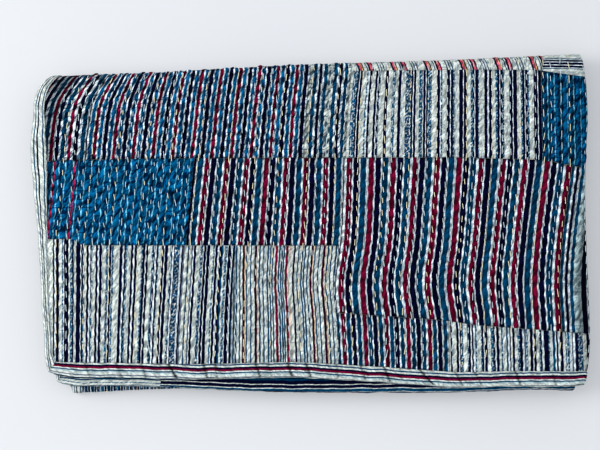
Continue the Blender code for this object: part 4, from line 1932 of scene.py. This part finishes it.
@dataclass(frozen=True)
class StitchRows:
    """Running stitches in rows, laid in the furrows that they draw in the cloth."""

    cloth: FoldedCloth
    plan: StitchPlan
    name: str
    start: float
    end: float
    length: float = 8.2
    thread: float = 0.72
    seat: float = 1.12
    loft: float = 0.35
    clear: float = 4.0
    fold_clear: float = 3.0
    seed: int = 5

    @staticmethod
    def tree(material: bpy.types.Material) -> bpy.types.NodeTree:
        """The nodes that set one stitch on every marked point.

        Args:
            material: The thread's finish.

        Returns:
            A geometry tree with its sizes as named inputs.
        """
        tree = bpy.data.node_groups.new("running_stitch", "GeometryNodeTree")
        tree.interface.new_socket(name="Geometry", in_out="INPUT", socket_type="NodeSocketGeometry")
        for label, kind in STITCH_INPUTS.items():
            tree.interface.new_socket(name=label, in_out="INPUT", socket_type=f"NodeSocket{kind}")
        tree.interface.new_socket(name="Geometry", in_out="OUTPUT", socket_type="NodeSocketGeometry")
        wiring = Wiring(tree)
        given, out = wiring.node("NodeGroupInput"), wiring.node("NodeGroupOutput")
        half = wiring.math("MULTIPLY", given.outputs["Stitch Length"], 0.5)
        back = wiring.math("MULTIPLY", half, -1.0)
        dip = wiring.math("MULTIPLY", given.outputs["Loft"], -1.0)
        start, middle, end = (
            wiring.node("ShaderNodeCombineXYZ", parts).outputs[0]
            for parts in ({0: back, 2: dip}, {2: given.outputs["Loft"]}, {0: half, 2: dip})
        )
        inputs = {"Resolution": 4, "Start": start, "Middle": middle, "End": end}
        curve = wiring.node("GeometryNodeCurveQuadraticBezier", inputs).outputs[0]
        radius = wiring.math("MULTIPLY", given.outputs["Thread Width"], 0.5)
        inputs = {"Resolution": 5, "Radius": radius}
        section = wiring.node("GeometryNodeCurvePrimitiveCircle", inputs).outputs[0]
        inputs = {"Curve": curve, "Profile Curve": section, "Fill Caps": True}
        strand = wiring.node("GeometryNodeCurveToMesh", inputs).outputs[0]
        facing, heading = (
            wiring.node("GeometryNodeInputNamedAttribute", {"Name": name}, data_type="FLOAT_VECTOR")
            for name in ("facing", "heading")
        )
        inputs = {"Vector": facing.outputs["Attribute"]}
        upright = wiring.node("FunctionNodeAlignRotationToVector", inputs, axis="Z").outputs[0]
        inputs = {"Rotation": upright, "Vector": heading.outputs["Attribute"]}
        turned = wiring.node("FunctionNodeAlignRotationToVector", inputs, axis="X", pivot_axis="Z")
        other = wiring.math("ADD", given.outputs["Seed"], 1.0)
        skew, size = (
            wiring.node("FunctionNodeRandomValue", {"Seed": seed, 2: low, 3: high}, data_type="FLOAT")
            for seed, low, high in ((given.outputs["Seed"], -0.13, 0.13), (other, 0.78, 1.18))
        )
        swing = wiring.node("ShaderNodeCombineXYZ", {2: skew.outputs[1]}).outputs[0]
        euler = wiring.node("FunctionNodeEulerToRotation", {0: swing}).outputs[0]
        inputs = {"Rotation": turned.outputs[0], "Rotate By": euler}
        rotated = wiring.node("FunctionNodeRotateRotation", inputs, rotation_space="LOCAL")
        scale = wiring.node("ShaderNodeCombineXYZ", {0: size.outputs[1], 1: 1.0, 2: 0.8})
        inputs = {
            "Points": given.outputs["Geometry"],
            "Instance": strand,
            "Rotation": rotated.outputs[0],
            "Scale": scale.outputs[0],
        }
        placed = wiring.node("GeometryNodeInstanceOnPoints", inputs)
        real = wiring.node("GeometryNodeRealizeInstances", {0: placed.outputs[0]})
        smooth = wiring.node("GeometryNodeSetShadeSmooth", {0: real.outputs[0]})
        dressed = wiring.node("GeometryNodeSetMaterial", {0: smooth.outputs[0], "Material": material})
        wiring.fill(out, {0: dressed.outputs[0]})
        return tree

    def marks(self) -> bpy.types.Object:
        """One point for each stitch, with the way that it faces and heads."""
        cloth = self.cloth
        grain, along = self.plan.places(self.start, self.end)
        across = cloth.across_at(grain, along)
        turn = cloth.half_width - cloth.face_radius
        across = np.where(grain > turn, grain, across)
        x = np.clip(across, -cloth.half_width, cloth.half_width)
        starts = cloth.starts(x)
        edge = cloth.side_across(Side.OUTER, along)
        fold = cloth.side_across(Side.FOLD, along)
        first = starts[0] + cloth.end_width + self.clear + self.length / 2
        strip = cloth.side_width * side_share(Side.OUTER, along)
        keep = (across > edge + strip + self.clear) & (across < fold - self.fold_clear)
        keep = keep & (along > first)
        across, along, tint = across[keep], along[keep], self.plan.tint(grain[keep])
        rng = np.random.default_rng(self.seed)
        across = across + rng.uniform(-0.3, 0.3, len(across))
        lift = self.seat + 0 * across
        place = cloth.place
        ahead = place(across, along + 1.0, lift) - place(across, along - 1.0, lift)
        aside = place(across + 1.0, along, lift) - place(across - 1.0, along, lift)
        facing = np.cross(aside, ahead)
        mesh = bpy.data.meshes.new(self.name + "_marks")
        mesh.from_pydata(place(across, along, lift).tolist(), [], [])
        for label, values in (("facing", facing), ("heading", ahead)):
            values = values / np.linalg.norm(values, axis=1, keepdims=True)
            attribute = mesh.attributes.new(label, "FLOAT_VECTOR", "POINT")
            attribute.data.foreach_set("vector", values.astype(np.float32).ravel())
        yellow = mesh.attributes.new(TINT, "FLOAT", "POINT")
        yellow.data.foreach_set("value", tint.astype(np.float32))
        return add_object(self.name + "_marks", mesh)

    def make(self, tree: bpy.types.NodeTree) -> bpy.types.Object:
        """Sews the rows.

        Args:
            tree: The nodes that set the stitches.

        Returns:
            All the stitches as one plain mesh.
        """
        marks = self.marks()
        modifier = marks.modifiers.new("stitches", "NODES")
        modifier.node_group = tree
        sizes = (self.length * MM, self.thread * MM, self.loft * MM, self.seed)
        sizes = dict(zip(STITCH_INPUTS, sizes))
        for item in tree.interface.items_tree:
            if item.in_out == "INPUT" and item.name in sizes:
                modifier[item.identifier] = sizes[item.name]
        graph = bpy.context.evaluated_depsgraph_get()
        mesh = bpy.data.meshes.new_from_object(marks.evaluated_get(graph), depsgraph=graph)
        bpy.data.objects.remove(marks)
        mesh.name = self.name
        places = np.zeros(len(mesh.vertices) * 3, np.float32)
        mesh.vertices.foreach_get("co", places)
        keep_off_floor(places.reshape(-1, 3))
        mesh.vertices.foreach_set("co", places)
        made = add_object(self.name, mesh)
        return made


# ---- studio ----
AIM = (-0.0114, -0.0003, 0.033)


@dataclass(frozen=True)
class Studio:
    """Pale floor, soft light from the left, and the camera above the front of the bundle."""

    elevation: float = 75.0
    distance: float = 4.2
    view_width: float = 0.692
    aim: tuple[float, float, float] = AIM
    floor_size: float = 9.0
    glow: float = 0.80
    key_place: tuple[float, float, float] = (-2.4, 0.0, 1.75)
    key_size: float = 2.4
    key_power: float = 76.0
    key_tint: tuple[float, float, float] = (1.0, 0.985, 0.97)
    sky_tint: tuple[float, float, float, float] = (0.88, 0.93, 1.0, 1.0)
    sky_strength: float = 0.94

    def floor(self) -> bpy.types.Object:
        """The pale surface that the quilt lies on."""
        half = self.floor_size / 2
        mesh = bpy.data.meshes.new("studio_floor")
        corners = [(-half, -half, 0), (half, -half, 0), (half, half, 0), (-half, half, 0)]
        mesh.from_pydata(corners, [], [(0, 1, 2, 3)])
        material, wiring, shader = new_material("studio_pale")
        place = wiring.node("ShaderNodeTexCoord").outputs["Object"]
        soft = wiring.node("ShaderNodeTexNoise", {"Vector": place, "Scale": 2.2, "Detail": 1.0})
        colour = wiring.blend(soft.outputs[0], srgb(154, 155, 157), srgb(158, 159, 160))
        looks = {
            "Base Color": colour,
            "Roughness": 0.8,
            "Specular IOR Level": 0.2,
            "Emission Color": colour,
            "Emission Strength": self.glow,
        }
        wiring.fill(shader, looks)
        mesh.materials.append(material)
        floor = add_object("studio_floor", mesh)
        return floor

    @staticmethod
    def aimed(data: bpy.types.ID, place: Vector, way: Vector) -> bpy.types.Object:
        """Hangs a lamp or a camera at a place, looking that way."""
        made = add_object(data.name, data)
        made.location = place
        made.rotation_mode = "QUATERNION"
        made.rotation_quaternion = way.to_track_quat("-Z", "Y")
        return made

    def key_lamp(self) -> None:
        """The big soft lamp at the left."""
        data = bpy.data.lights.new("key", "AREA")
        data.shape, data.size = "DISK", self.key_size
        data.energy, data.color = self.key_power, self.key_tint
        self.aimed(data, Vector(self.key_place), Vector(self.aim) - Vector(self.key_place))

    def camera(self) -> None:
        """The camera, far off with a long lens."""
        data = bpy.data.cameras.new("camera")
        data.sensor_width = 36.0
        data.lens = data.sensor_width * self.distance / self.view_width
        data.clip_end = 100.0
        angle = math.radians(self.elevation)
        back = Vector((0.0, -math.cos(angle), math.sin(angle)))
        bpy.context.scene.camera = self.aimed(data, Vector(self.aim) + back * self.distance, -back)

    def set_up(self) -> None:
        """Floor, lamps, sky and camera."""
        self.floor()
        self.key_lamp()
        world = bpy.data.worlds.new("studio_sky")
        world.use_nodes = True
        sky = world.node_tree.nodes["Background"]
        Wiring(world.node_tree).fill(sky, {"Color": self.sky_tint, "Strength": self.sky_strength})
        scene = bpy.context.scene
        scene.world = world
        scene.view_settings.view_transform = "Standard"
        scene.view_settings.look = "Medium High Contrast"
        self.camera()


def fitted_cloth() -> FoldedCloth:
    """The folded cloth, moved to where the part's own cloth lies.

    Returns:
        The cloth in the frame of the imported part.
    """
    even = FoldedCloth()
    starts = even.starts(np.array(0.0))
    along = np.linspace(float(starts[0]) - 8, float(starts[-1]), 900)[:, None]
    across = np.linspace(-even.half_width + even.half, 2 * even.half_width + 8, 420)[None]
    lines = even.starts(even.x_of(across, along))
    along = np.clip(along + 0 * across, lines[0] + even.half, lines[-1] - even.half)
    outer, _, inner = (even.side_across(side, along[:, :1]) for side in Side)
    across = np.clip(across + 0 * along, outer + even.half, inner - even.half)
    faces = [even.place(across, along, lift).reshape(-1, 3) for lift in (even.half, -even.half)]
    points = np.concatenate(faces)
    low, high = (np.array(corner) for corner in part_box("quilt_cloth"))
    middle = (low + high) / 2 - (points.min(0) + points.max(0)) / 2
    return FoldedCloth(moved=(float(middle[0]), float(middle[1]), float(low[2] - points[:, 2].min())))


def bound(cloth: FoldedCloth) -> list[bpy.types.Object]:
    """Binds the four edges of the quilt.

    Args:
        cloth: The folded cloth.

    Returns:
        The five strips.
    """
    end = cloth.starts(np.array(0.0))[Leg.END]
    fold = float(cloth.side_across(Side.FOLD, end))
    far = float(cloth.side_across(Side.INNER, end)) - JOINT_MARGIN
    joint = far - JOINT_SHARE * (far - fold)
    upper = {"dragged": True, "drift": UPPER_DRIFT}
    navy = {"leg": Leg.SECOND_RUN, "stop": joint - JOINT_GAP, "drift": NAVY_DRIFT}
    cream = {"leg": Leg.SECOND_RUN, "start": joint + JOINT_GAP}
    strips = (
        EndBinding(cloth, "upper_end_strip", END_STRIP, "upper_end_binding", **upper),
        EndBinding(cloth, "lower_end_strip_navy", NAVY_STRIP, "lower_end_binding_navy", **navy),
        EndBinding(cloth, "lower_end_strip_cream", CREAM_STRIP, "lower_end_binding_cream", **cream),
        SideBinding(cloth, "outer_side_strip", SIDE_STRIP, "outer_side_binding"),
        SideBinding(cloth, "inner_side_strip", SIDE_STRIP, "inner_side_binding", side=Side.INNER),
    )
    return [strip.make() for strip in strips]


def sewn(cloth: FoldedCloth, plan: StitchPlan) -> list[bpy.types.Object]:
    """Sews the rows of running stitch on the runs that show.

    Args:
        cloth: The folded cloth.
        plan: Where the rows lie.

    Returns:
        The stitches as far as the bottom run, and those from there to the third run.
    """
    tree = StitchRows.tree(CottonThread().material())
    starts = cloth.starts(np.array(0.0))
    under, third = float(starts[Leg.BOTTOM_RUN]), float(starts[Leg.THIRD_RUN])
    runs = (("stitches_upper", cloth.depth_front, under), ("stitches_under", under, third))
    return [StitchRows(cloth, plan, name, start, end).make(tree) for name, start, end in runs]


def corners(box: Sequence[Vector]) -> list[list[float]]:
    """A box's two corners as plain lists."""
    return [list(corner) for corner in box]


def main() -> None:
    """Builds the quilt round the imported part, dresses it and sets up the studio."""
    logging.basicConfig(level=logging.INFO, format="%(message)s")
    for old in list(bpy.data.objects):
        bpy.data.objects.remove(old)
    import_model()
    cloth = fitted_cloth()
    LOG.info("moved by %s", [round(part, 5) for part in cloth.moved])
    for make_group in (uneven_stripe_group, cotton_tone_and_shade_group, cotton_surface_group):
        make_group()
    plan = StitchPlan(cloth)
    patchwork = Patchwork(cloth, plan)
    patches = [patchwork.make(patch) for patch in PATCHES]
    undercloth = Undercloth(cloth).make()
    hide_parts("quilt_cloth")
    dressing = [*patches, *bound(cloth), *sewn(cloth, plan)]
    for piece in (undercloth, *dressing):
        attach(piece, "root")
        LOG.info("%s: %d faces", piece.name, len(piece.data.polygons))
    aim_x, aim_y, aim_z = AIM
    Studio(aim=(cloth.moved[0] + aim_x, cloth.moved[1] + aim_y, aim_z)).set_up()


if __name__ == "__main__":
    main()
